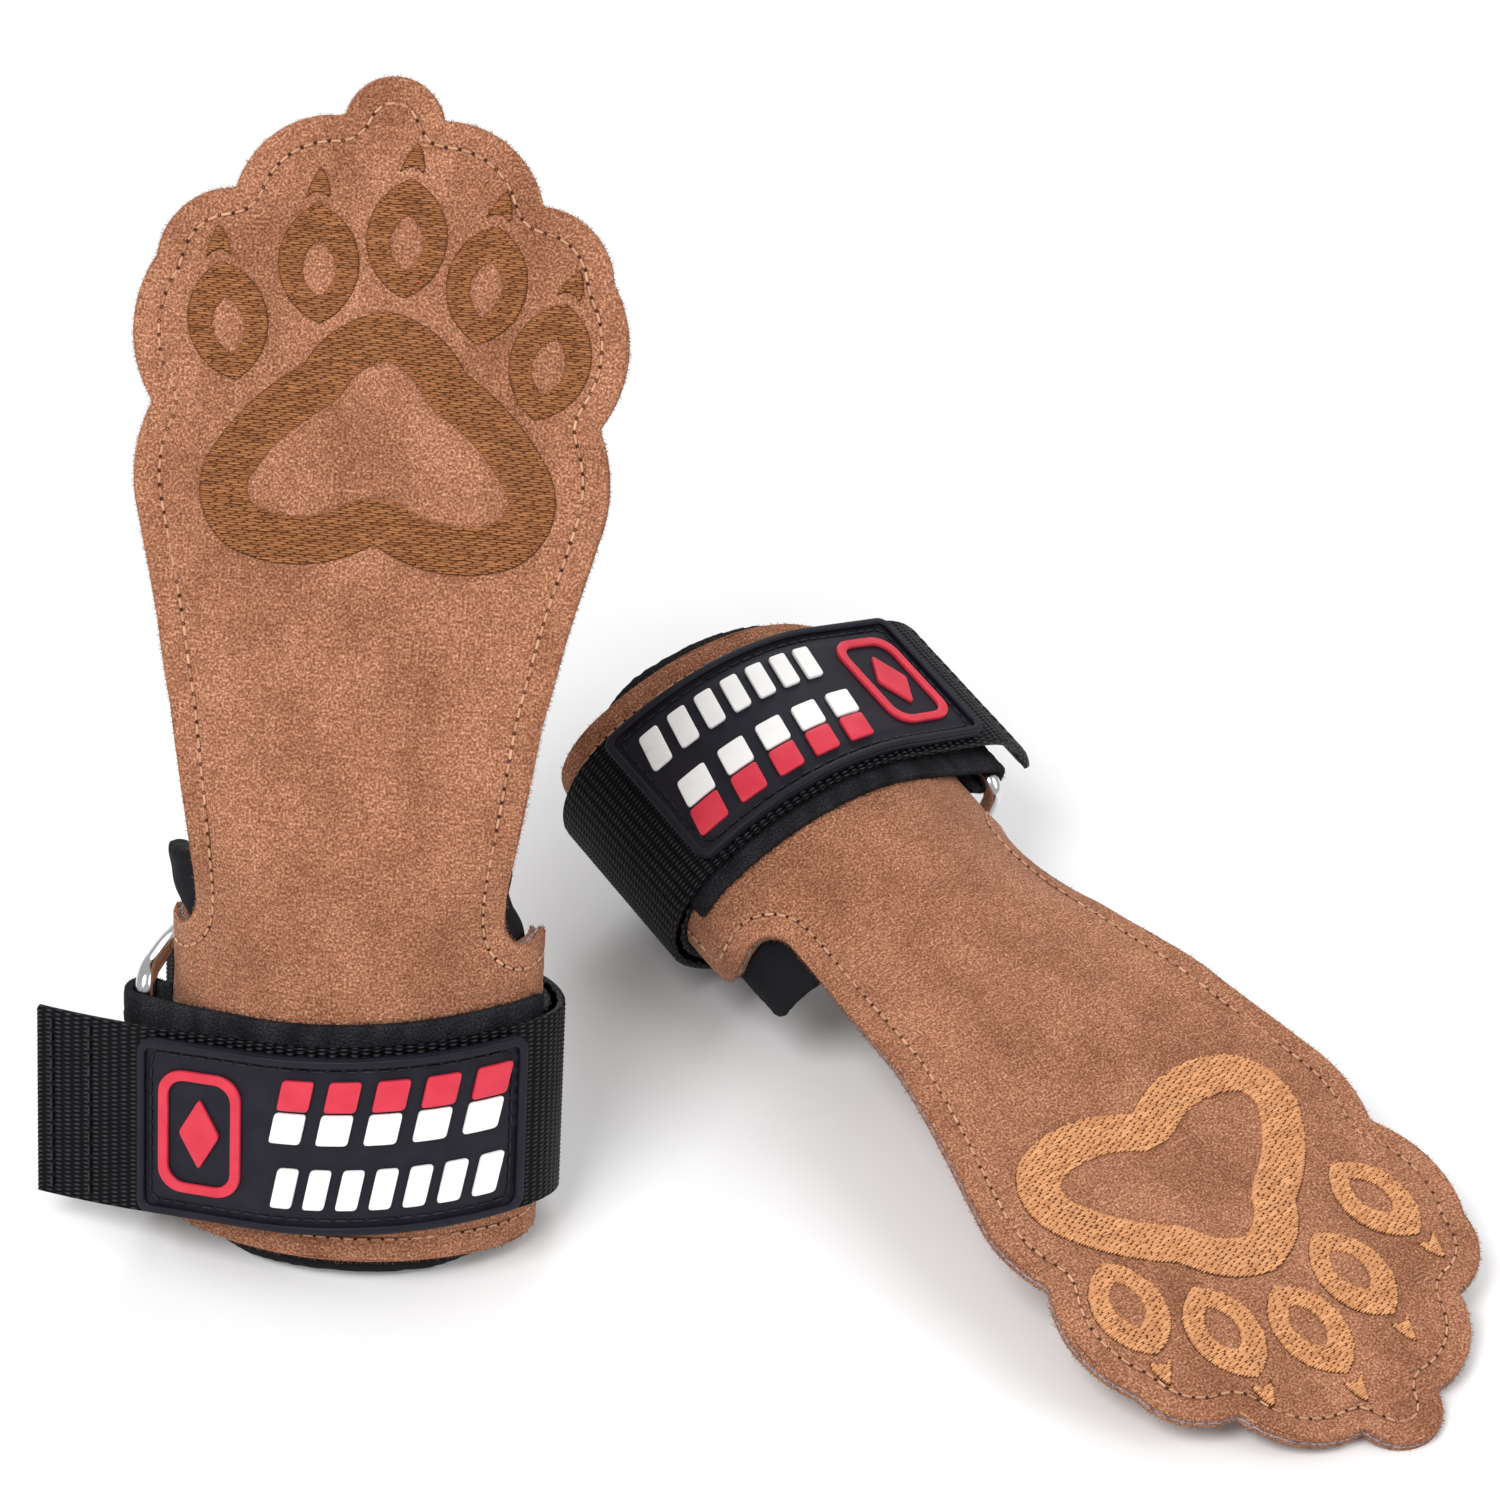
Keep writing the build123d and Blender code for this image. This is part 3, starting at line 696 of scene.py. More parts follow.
LOOKS = {
    "suede_face": suede_look("suede_face", (0.17, 0.056, 0.024), (0.325, 0.132, 0.071), (0.62, 0.335, 0.215)),
    "suede_back": suede_look("suede_back", (0.17, 0.067, 0.034), (0.31, 0.143, 0.088), (0.54, 0.32, 0.225)),
    "interlining": interlining_look(),
    # painted shade: the needle-hole cups are coloured dark brown for the shade inside the holes
    "needle_holes": dark_look("needle_holes", 0.95, 0.5, (0.040, 0.015, 0.008), (0.095, 0.036, 0.019), 0.1),
    # painted shade: a dark sheet under the fills, seen as shade in the gaps between the stitches
    "embroidery_painted_shade": dark_look("embroidery_painted_shade", 0.9, 0.7, (0.060, 0.022, 0.010),
                                   (0.140, 0.054, 0.024), 0.15),
    "seam_thread": thread_look("seam_thread", (0.36, 0.155, 0.080), (0.74, 0.43, 0.27)),
    # lit and shaded copies of the same thread: the lying grip's copy is painted lighter and golden as the
    # sheen of grazing light, the standing grip's is darker as seen face on
    "standing_embroidery": thread_look("embroidery_thread", (0.21, 0.072, 0.024), (0.42, 0.170, 0.062), 0.45),
    "lying_embroidery": thread_look("embroidery_thread_painted_sheen", (0.53, 0.220, 0.085), (0.86, 0.44, 0.200),
                                    0.40, 0.4),
    "pad_foam": pad_look(),
    "pad_lining": jersey_look(),
    "loop_fabric": pile_look(),
    # webbing tones by weave height: painted shade in the valleys, the yarn's dark tone on the sides, painted
    # highlight on the crowns
    "webbing": webbing_look("webbing_yarn", (0.0004, 0.0004, 0.0007), (0.0036, 0.0032, 0.0050),
                            (0.046, 0.042, 0.054)),
    "hook_tape": hook_look(),
    "ring_chrome": chrome_look(),
    "patch_black": rubber_look("patch_rubber", (0.0070, 0.0062, 0.0120), (0.0115, 0.0105, 0.0190), 0.5, 0.22),
    "patch_thread": thread_look("patch_thread", (0.006, 0.006, 0.008), (0.024, 0.024, 0.028)),
    "patch_red": rubber_look("patch_red", (0.62, 0.026, 0.052), (0.70, 0.044, 0.075), 0.45, 0.3),
    "patch_white": rubber_look("patch_white", (0.90, 0.89, 0.88), (0.96, 0.96, 0.95), 0.45, 0.4),
}


# ---- leather pattern
S_JOIN = FRONT_RADIUS * math.radians(90 - JOIN)      # front arc, from its middle to its end
DRAPE = waves(3, 7, 60, 150)
DIMPLE = waves(5, 16, 9, 40)


def turned(s, angle, bend):
    """Displacement after s along an arc of some curvature that starts at an angle."""
    half = bend * s / 2
    reach = s * np.sinc(half / np.pi)
    return reach * np.cos(angle + half), reach * np.sin(angle + half)


def leather(s, z, depth):
    """Grip millimetres of a point of the flat pattern: curled round the wrist, flat in the palm."""
    s, z, depth = np.broadcast_arrays(np.asarray(s, float), z, depth)
    curl = 1 - smooth((z - 42) / 53)
    front = np.clip(s, -S_JOIN, S_JOIN)
    x, y = turned(front, 0.0, curl / FRONT_RADIUS)
    angle = curl * front / FRONT_RADIUS
    dx, dy = turned(s - front, angle, curl / SIDE_RADIUS)
    angle = angle + curl * (s - front) / SIDE_RADIUS
    drape = smooth((z - 62) / 40) * (0.7 * DRAPE(s, z) + 0.0006 * s**2)
    x, y = x + dx - depth * np.sin(angle), y + dy + depth * np.cos(angle) + drape
    return np.stack((x, y - HALF_DEPTH, z), -1)


def arc(a, b, c, step=0.8):
    """Points on the circle from a through b to c."""
    (ax, ay), (bx, by), (cx, cy) = a, b, c
    d = 2 * (ax * (by - cy) + bx * (cy - ay) + cx * (ay - by))
    aa, bb, cc = ax * ax + ay * ay, bx * bx + by * by, cx * cx + cy * cy
    ux = (aa * (by - cy) + bb * (cy - ay) + cc * (ay - by)) / d
    uy = (aa * (cx - bx) + bb * (ax - cx) + cc * (bx - ax)) / d
    radius = math.hypot(ax - ux, ay - uy)
    t0, t2 = math.atan2(ay - uy, ax - ux), math.atan2(cy - uy, cx - ux)
    left = (bx - ax) * (cy - by) - (by - ay) * (cx - bx) > 0
    sweep = (t2 - t0) % (2 * math.pi) if left else -((t0 - t2) % (2 * math.pi))
    turn = t0 + sweep * np.linspace(0, 1, max(3, int(abs(sweep) * radius / step)))
    return np.column_stack((ux + radius * np.cos(turn), uy + radius * np.sin(turn)))


def mirrored(right):
    """Closed anticlockwise loop from its right half, listed downwards."""
    left = right[::-1] * (-1, 1)
    loop = np.vstack((right[::-1], left[::-1]))
    keep = np.hypot(*(loop - np.roll(loop, 1, axis=0)).T) > 1e-3
    return loop[keep]


def pattern_outline():
    """Whole leather of one grip laid flat: paw, palm, neck, wings and the band round the wrist."""
    top = [
        arc((0, GRIP_LENGTH), (6.8, 203.2), (9.5, 198)),
        arc((9.5, 198), (22.7, 193.8), (29.4, 183)),
        arc((29.4, 183), (38.1, 179.9), (43.8, 169.3)),
        arc((43.8, 169.3), (47.4, 154), (42.9, 141.5)),
        arc((42.9, 141.5), (45.6, 129), (44.1, 119.9)),
        np.array([(42.6, 114.0), (40.7, 107.0), (39.0, 100.0), (37.4, 92.0), (35.8, 84.0), (34.8, 75.0),
                  (34.0, 66.0), (33.3, 57.0), (32.8, 49.0), (32.8, 43.0)]),
        arc((32.8, 43.0), (34.85, 38.05), (39.8, 36.0)),
        arc((WING_END - 9, WING_TOP), (WING_END - 2.64, WING_TOP - 2.64), (WING_END, WING_TOP - 9)),
        arc((WING_END, CUFF_LOW + 9), (WING_END - 2.64, CUFF_LOW + 2.64), (WING_END - 9, CUFF_LOW)),
    ]
    return resample(mirrored(np.vstack(top)), 1.1)


def inset(loop, distance, pitch):
    """Closed line at a distance inside a loop."""
    fine = resample(loop, 0.5)
    line = fine + distance * inward(fine)
    return resample(line[nearest(line, fine) > distance - 0.05], pitch)


OUTLINE = pattern_outline()
SEAM = inset(OUTLINE, STITCH_INSET, 1.2)
SEAM_FINE = resample(SEAM, 0.35)


def near_line(s, z, line, reach):
    """Soft ridge that is 1 on a line and fades within a distance."""
    points = np.column_stack((np.ravel(s), np.ravel(z)))
    return np.exp(-(nearest(points, line) / reach) ** 2).reshape(np.shape(s))


# ---- stitches
def along_surface(surface, s, z, lift):
    """Tube stations (centres, across, up) on a surface; s, z and lift are (count, rings) arrays."""
    centres, above = surface(s, z, -lift), surface(s, z, -lift - 0.5)
    up = above - centres
    along = np.gradient(centres, axis=1)
    along -= (along * up).sum(-1, keepdims=True) / (up * up).sum(-1, keepdims=True) * up
    return centres, np.cross(unit(up), unit(along)), unit(up)


def stitch_tubes(surface, starts, ends, wide, high, crown, sink, sides, seed):
    """Raised stitches between (s, z) pairs; each dives into the surface at both ends."""
    rng = np.random.default_rng(seed)
    share = np.array((0.0, 0.10, 0.32, 0.68, 0.90, 1.0))
    spots = starts[:, None, :] + (ends - starts)[:, None, :] * share[None, :, None]
    rise = np.array((-sink, crown * 0.55, crown, crown, crown * 0.55, -sink))
    lift = rise[None, :] + rng.normal(0, 0.035, (len(starts), 1))
    girth = np.array((0.45, 0.85, 1.0, 1.0, 0.85, 0.45))[None, :] * rng.uniform(0.9, 1.1, (len(starts), 1))
    radii = np.stack((girth * wide, girth * high), -1)
    frames = along_surface(surface, spots[..., 0], spots[..., 1], lift)
    points, faces, uv = tubes(frames, radii, sides)
    shift = rng.uniform(0, 3, len(starts)).repeat(len(faces) // len(starts) * 4)
    uv = uv + np.column_stack((0 * shift, shift))
    return points, faces, uv


def run_stitches(loop, pitch, gap):
    """Start and end points of running stitches round a loop, and the needle holes between them."""
    length = distances(closed(loop))[-1]
    count = int(round(length / pitch))
    pitch = length / count
    first = np.arange(count) * pitch
    return [follow(closed(loop), (first + shift) % length) for shift in (gap / 2, pitch - gap / 2, 0.0)]


def holes(surface, spots, radius, lift):
    """Small cups where the needle went through, painted dark as the shade inside each hole: two rings of
    quads over an eight-sided floor.
    Their UVs are spread wide, so each cup has its own tone."""
    rim = circle(np.linspace(0, 2 * math.pi, 8, endpoint=False))
    rings = []
    for scale, height in ((1.25, lift + 0.03), (0.85, lift - 0.03), (0.35, lift - 0.16)):
        at = spots[:, None, :] + radius * scale * rim
        rings.append(surface(at[..., 0], at[..., 1], -height))
    flat = np.stack(rings, 1).reshape(-1, 3)
    floors = np.arange(len(spots))[:, None] * 24 + 16 + np.arange(8)
    faces = [*ring_quads(len(spots), 3, 8)[0], *floors]
    return flat, faces, np.vstack([flat[f][:, :2] * 10 for f in faces])


def scan(loops, pitch, longest, seed):
    """Rows of stitches that fill closed loops, in short lengths laid like bricks."""
    rng = np.random.default_rng(seed)
    every = np.vstack(loops)
    starts, ends = [], []
    for row, z in enumerate(np.arange(every[:, 1].min() + pitch / 2, every[:, 1].max(), pitch)):
        cuts = []
        for a in loops:
            b = np.roll(a, -1, axis=0)
            hit = (a[:, 1] > z) != (b[:, 1] > z)
            cuts += list(a[hit, 0] + (z - a[hit, 1]) / (b[hit, 1] - a[hit, 1]) * (b[hit, 0] - a[hit, 0]))
        cuts.sort()
        for low, high in zip(cuts[::2], cuts[1::2]):
            low, high = low + rng.normal(0, 0.10) - 0.1, high + rng.normal(0, 0.10) + 0.1
            if high - low < 0.5:
                continue
            shift = longest * (row * 0.381 % 1.0) + rng.normal(0, 0.22)
            inner = np.arange(math.floor((low - shift) / longest) + 1, math.ceil((high - shift) / longest))
            inner = inner * longest + shift + rng.normal(0, 0.16, len(inner))
            marks = [low] + [x for x in inner if low + 0.7 < x < high - 0.7] + [high]
            line = list(zip(marks, z + rng.normal(0, 0.04, len(marks))))
            starts += line[:-1]
            ends += line[1:]
    return np.array(starts), np.array(ends)


# ---- embroidery shapes
def paw_loops():
    """Outline of the paw's big pad and of the leather left open in it."""
    outer = [arc((0, 161), (9, 157.5), (15.5, 150)), arc((15.5, 150), (25.5, 142), (31.5, 134)),
             arc((31.5, 134), (33.3, 122), (26, 114)), arc((26, 114), (13, 112.4), (0, 117))]
    loop = resample(mirrored(np.vstack(outer)), 0.7)
    return [loop + (1.5, 0), inset(loop, 9.0, 0.7) + (1.5, 0)]


# middle and tilt of each toe, on the flat pattern
TOES = [(-29.2, 157.6, 12), (-12.5, 169.5, 5), (4.0, 175.3, 0), (19.8, 167.4, -6), (32.8, 153.6, -12)]


def toe_loops():
    """A leaf-shaped toe and the smaller leaf left open in it."""
    tall = 22.5

    def leaf(half_wide, low, high):
        side, foot, tip = -0.12 * tall, (0, low * tall), (0, high * tall)
        right, left = arc(foot, (half_wide, side), tip, 0.5), arc(tip, (-half_wide, side), foot, 0.5)
        return np.vstack((right, left[1:-1]))

    return [leaf(7.3, -0.5, 0.5), leaf(2.92, -0.28, 0.2)]


def claw_loops():
    """A small pointed claw above its toe."""
    root, tip, end = (2.2, 0), (0.8, 5.6), (-2.2, 0)
    sides = (arc(root, (2.0, 3), tip, 0.4), arc(tip, (-0.9, 3), end, 0.4)[1:],
             arc(end, (0, 1.2), root, 0.4)[1:-1])
    return [np.vstack(sides) + (0, 12.6)]


def on_toes(loops):
    """The loops turned and placed on each toe."""
    placed = []
    for x, z, tilt in TOES:
        turn = math.radians(tilt)
        spin = np.array(((math.cos(turn), math.sin(turn)), (-math.sin(turn), math.cos(turn))))
        placed.append([loop @ spin + (x, z) for loop in loops])
    return placed


FILLS = {
    "paw_embroidery": [paw_loops()],
    "toe_embroidery": on_toes(toe_loops()),
    "claw_embroidery": on_toes(claw_loops()),
}
FILL_LOOPS = [loop for groups in FILLS.values() for group in groups for loop in group]
FILL_EDGES = np.vstack([resample(loop, 0.5) for loop in FILL_LOOPS])


def face_relief(s, z):
    """Grooves under the seam and round the embroidery, over a soft unevenness."""
    sunk = 0.36 * near_line(s, z, SEAM_FINE, 0.75) + 0.30 * near_line(s, z, FILL_EDGES, 0.55)
    return sunk + 0.14 * DIMPLE(s, z)


def back_relief(s, z):
    return -0.30 * near_line(s, z, SEAM_FINE, 0.75) + 0.10 * DIMPLE(s, z)


# ---- leather pieces
def fold_ends(grip, z):
    """Row-frame points where a fold starts and ends."""
    return [grip.world([(0.0, FLAP_Y, z + side * FOLD_HALF)])[0] for side in (-1, 1)]


def split_zones(grip, name, local, faces, uv, look, nodes, finish):
    """Makes a cuff-to-palm and a palm-to-fingers piece that meet inside the palm."""
    points = grip.world(local)
    whole = make_object(name + "_whole", points, faces, [LOOKS[look]], uv)
    normals = read(whole.data.vertices, "normal")
    upper = np.array([local[f, 2].mean() > SPLIT_Z for f in faces])
    start = np.concatenate(([0], np.cumsum([len(f) for f in faces])))
    for part, chosen, z, pair in (("low", ~upper, WRIST_Z, ("cuff", "palm")),
                                  ("high", upper, FINGER_Z, ("palm", "fingers"))):
        index = np.flatnonzero(chosen)
        used = np.unique(np.concatenate([faces[k] for k in index]))
        new = np.full(len(points), -1)
        new[used] = np.arange(len(used))
        piece = make_object(
            f"{name}_{part}_{grip.tag}", points[used], [[new[v] for v in faces[k]] for k in index],
            [LOOKS[look]], np.concatenate([uv[start[k]:start[k + 1]] for k in index]))
        piece.data.normals_split_custom_set_from_vertices(normals[used])
        shown = [node for node in nodes if node.startswith("finger") == (part == "high")]
        attach(piece, grip, (*pair, *fold_ends(grip, z)), shown, finish)
    bpy.data.objects.remove(whole, do_unlink=True)


def tidy_mesh(parts):
    """Joined parts with the points that coincide merged."""
    points, faces, uv = join_parts(parts)
    points, index = np.unique(np.round(points, 4), axis=0, return_inverse=True)
    index = index.ravel()
    return points, [index[f] for f in faces], uv


def leather_layers(grip):
    fills, seam = [closed(loop) for loop in FILL_LOOPS], [closed(SEAM)]
    layers = (
        ("face_leather", 0.0, FACE_THICK, 0.40, 1.25, seam + fills, face_relief, None, "suede_face", OUTLINE),
        ("interlining", CORE_DEPTH, CORE_THICK, 0.05, 5.0, [], None, None, "interlining",
         inset(OUTLINE, 0.06, 1.1)),
        ("back_leather", LEATHER - BACK_THICK, BACK_THICK, 0.35, 1.35, seam, None, back_relief, "suede_back",
         OUTLINE),
    )
    for name, depth, thick, radius, spacing, features, top, bottom, look, outline in layers:
        plate = Plate([outline], thick, radius, spacing, features)
        parts = plate.parts(lambda s, z, d, base=depth: leather(s, z, base + d), top, bottom)
        nodes = [f"{region}_{name}" for region in ("wrist", "palm", "finger")]
        split_zones(grip, name, *tidy_mesh(parts), look, nodes, look)


def fibres(surface, roots, outwards, depths, length, seed):
    """Short tapered hairs that stand out of a cut edge; roots and outwards are on the flat pattern."""
    rng = np.random.default_rng(seed)
    count = len(roots)
    reach = rng.uniform(*length, count)[:, None]
    share = np.array((-0.15, 0.5, 1.0))[None, :]
    sideways = np.column_stack((-outwards[:, 1], outwards[:, 0])) * rng.normal(0, 0.45, (count, 1))
    spots = roots[:, None, :] + reach[..., None] * (
        share[..., None] * outwards[:, None, :] + (share**2)[..., None] * sideways[:, None, :])
    sag = rng.normal(0, 0.35, (count, 1))
    centres = surface(spots[..., 0], spots[..., 1], depths[:, None] + reach * share * sag)
    along = np.gradient(centres, axis=1)
    across = unit(np.cross(along, np.array((0.31, 0.17, 0.93))))
    radii = np.array((0.075, 0.05, 0.012))[None, :, None] * rng.uniform(0.7, 1.2, (count, 1, 1))
    return tubes((centres, across, unit(np.cross(across, along))), np.broadcast_to(radii, (count, 3, 2)), 3)


def edge_fibres(grip):
    """Suede hairs all round the cut edge of both leathers."""
    rng = np.random.default_rng(71)
    line = resample(OUTLINE, 0.25)
    out = -inward(line)
    parts = []
    for seed, (low, high, share) in enumerate(((0.05, 1.25, 0.9), (1.9, 2.95, 0.5))):
        chosen = np.flatnonzero(rng.random(len(line)) < share)
        depths, roots = rng.uniform(low, high, len(chosen)), line[chosen] - 0.08 * out[chosen]
        parts.append(fibres(leather, roots, out[chosen], depths, (0.3, 0.85), 72 + seed))
    split_zones(grip, "suede_fibres", *join_parts(parts), "suede_face", [], "suede_face")


def seam_threads(grip):
    """Running stitches on both faces, 5 mm inside the whole edge, with their needle holes."""
    starts, ends, spots = run_stitches(SEAM, STITCH_PITCH, 0.55)

    def back(s, z, depth):
        return leather(s, z, LEATHER - np.asarray(depth))

    parts, cups = [], []
    for surface, seed in ((leather, 21), (back, 22)):
        parts.append(stitch_tubes(surface, starts, ends, 0.29, 0.24, -0.15, 0.60, 6, seed))
        cups.append(holes(surface, spots, 0.30, -0.18))
    nodes = ["wrist_seam", "palm_seam", "finger_seam"]
    split_zones(grip, "seam_thread", *join_parts(parts), "seam_thread", nodes, "seam_thread")
    split_zones(grip, "needle_holes", *join_parts(cups), "needle_holes", [], "suede_face")


def embroidery(grip):
    """Filled stitches of the paw, toes and claws."""
    for seed, (node, groups) in enumerate(FILLS.items()):
        threads, shade_sheets = [], []
        for k, loops in enumerate(groups):
            starts, ends = scan(loops, 0.44, 3.0, 40 + 9 * seed + k)
            threads.append(stitch_tubes(leather, starts, ends, 0.25, 0.24, 0.22, 0.20, 5, 60 + k))
            # a thin dark sheet just under each fill: painted shade that shows through the gaps between
            # stitches
            shade_sheet = Plate([loop - 0.22 * inward(loop) for loop in loops], 0.1, 0.03, 1.1)
            shade_sheets += shade_sheet.parts(lambda s, z, d: leather(s, z, d - 0.05), face_relief)[:1]
        points, faces, uv = join_parts(threads + shade_sheets)
        slots = np.zeros(len(faces), int)
        slots[sum(len(part[1]) for part in threads):] = 1
        looks = [LOOKS[grip.name + "_embroidery"], LOOKS["embroidery_painted_shade"]]
        piece = make_object(f"{node}_fill_{grip.tag}", grip.world(points), faces, looks, uv, slots)
        attach(piece, grip, ("palm", "fingers", *fold_ends(grip, FINGER_Z)), [node], "embroidery_thread")


# ---- strap, band, hook tape
PILE = waves(8, 24, 0.9, 2.6)


def weave(t, z):
    """Height of a coarse webbing: columns across the strap, each a row of short floats."""
    column = t / WEAVE_COLUMN
    number = np.floor(column + 1e-6)
    across = np.abs(np.cos(math.pi * (column - number - 0.5)))
    row = z / WEAVE_ROW + 0.5 * (number % 2)
    float_top = 0.5 + 0.5 * np.cos(2 * math.pi * row)
    return 0.46 * across**0.8 * (0.30 + 0.70 * float_top) - 0.36


def knit(t, z):
    """Height of a loop fabric."""
    row, column = z / 0.8, t / 0.95
    return 0.07 * np.sin(2 * math.pi * row) * np.sin(2 * math.pi * column) + 0.05 * PILE(t, z)


def worn_piece(name, grip, parts, look, on, nodes):
    """A piece worn with the strap, on one body, or baked in place when given two."""
    points, faces, uv = join_parts(parts)
    piece = make_object(f"{name}_{grip.tag}", grip.strap(points), faces, [LOOKS[look]], uv)
    weld(piece)
    attach(piece, grip, on, nodes, look)


def at_angle(degrees, offset):
    turn = math.radians(degrees)
    return SIDE_X + (SIDE_RADIUS + offset) * math.cos(turn), (SIDE_RADIUS + offset) * math.sin(turn)


def straps(grip):
    """Strap through the ring and back over itself, the loop band under it, and the hook tape."""
    outer, inner, tail, band = (PATHS[grip.name][k] for k in ("outer", "inner", "tail", "band"))
    hinge = outer.near(*at_angle(STRAP_HINGE, STRAP_IN))
    half = math.radians(HINGE_HALF_GAP) * (SIDE_RADIUS + STRAP_IN)
    ends = [grip.strap([outer(hinge + side * half * 1.6, 0.0, 0.0)])[0] for side in (-1, 1)]

    def webbing(name, path, start, end, columns, on, nodes, caps=(True, True)):
        run = ribbon_part(path, start, end, WEAVE_COLUMN / 3, WEB_HALF, WEB_THICK, 0.0, *columns, weave,
                          caps=caps)
        worn_piece(name, grip, run, "webbing", on, nodes)

    meet = WEAVE_COLUMN * round((hinge - 14) / WEAVE_COLUMN)
    webbing("strap_outer_run", outer, meet, outer.length, (165, 40), ("cuff", "tail", *ends), ["strap_tail"],
            (False, True))
    webbing("strap_back_run", outer, 0.0, meet, (165, 40), "cuff", [], (True, False))
    webbing("strap_inner_run", inner, 0.0, inner.length, (84, 84), "cuff", ["strap_webbing"])

    piled = ribbon_part(band, 0.0, band.length, 0.7, WEB_HALF, LOOP_THICK, 0.0, 60, 60, knit, shift=BAND_UP)
    worn_piece("loop_band_fabric", grip, piled, "loop_fabric", "cuff", ["loop_band"])

    rng = np.random.default_rng(81)
    count = int(band.length * 5)
    roots = np.column_stack((rng.uniform(1, band.length - 1, count), np.full(count, WEB_HALF + 3.3)))
    hairs = fibres(band, roots, np.tile((0.0, 1.0), (count, 1)),
                   rng.uniform(0.1, LOOP_THICK - 0.1, count), (0.3, 0.9), 82)
    worn_piece("loop_band_fibres", grip, [hairs], "loop_fabric", "cuff", [])

    def outside(t, z, depth):
        return outer(t, z, WEB_THICK - depth)

    z = np.linspace(-WEB_HALF + 1.5, WEB_HALF - 1.5, 14)
    rows = ((outside, 3.2), (outside, 11.6), (outer, 3.2), (outer, 11.6))
    hems = []
    for seed, (face, from_end) in enumerate(rows):
        t = np.full(13, outer.length - from_end)
        starts, ends = np.column_stack((t, z[:-1] + 0.25)), np.column_stack((t, z[1:] - 0.25))
        hems.append(stitch_tubes(face, starts, ends, 0.30, 0.26, 0.02, 0.35, 6, 90 + seed))
    worn_piece("strap_hem_stitches", grip, hems, "patch_thread", "tail", [])

    start = tail.near(*at_angle(329, 0.0))
    hooked = ribbon_part(tail, start, tail.length - 2, 1.0, WEB_HALF - 2, 0.8, HOOK_IN, 30, 30)
    worn_piece("hook_field", grip, hooked, "hook_tape", "tail", ["hook_tape"])


# ---- patch
TAIL = PATHS["standing"]["tail"]
PATCH_FROM = TAIL.near(*at_angle(314, 0.0))
PATCH_TO = TAIL.length - TAIL_STRAIGHT + 24.5
PATCH_WIDE, PATCH_HALF = PATCH_TO - PATCH_FROM, WEB_HALF - 1.5


def rounded(width, height, radius, pitch=0.8):
    """Anticlockwise rounded rectangle about the origin."""
    turn = np.radians(np.linspace(0, 90, 9))
    corners = []
    for quarter, (sx, sy) in enumerate(((1, 1), (-1, 1), (-1, -1), (1, -1))):
        centre = np.array((sx * (width / 2 - radius), sy * (height / 2 - radius)))
        corners.append(centre + radius * circle(turn + quarter * math.pi / 2))
    return resample(np.vstack(corners), pitch)


def patch_field(base):
    """Surface of the patch: u runs from its middle to the right, depth is below an offset."""
    def surface(u, z, depth):
        return TAIL((PATCH_FROM + PATCH_TO) / 2 - np.asarray(u), z, base - np.asarray(depth))
    return surface


def mark_field(base):
    """Surface of the patch by the sideways position seen from the front."""
    t = np.linspace(PATCH_FROM - 4, PATCH_TO + 4, 400)
    across = -TAIL(t, 0.0, PATCH_OUT)[:, 0]

    def surface(x, z, depth):
        return TAIL(np.interp(-np.asarray(x), across, t), z, base - np.asarray(depth))
    return surface


def bar(x, z, width, height, lean):
    """Slanted bar with a little roundness at its corners."""
    corners = np.array(((-width / 2, -height / 2), (width / 2, -height / 2),
                        (width / 2 + lean, height / 2), (-width / 2 + lean, height / 2)))
    return soft(resample(corners, 0.5) + (x, z))


def soft(loop):
    """The same loop with its corners a little rounded."""
    for _ in range(2):
        loop = (np.roll(loop, 1, axis=0) + 2 * loop + np.roll(loop, -1, axis=0)) / 4
    return loop


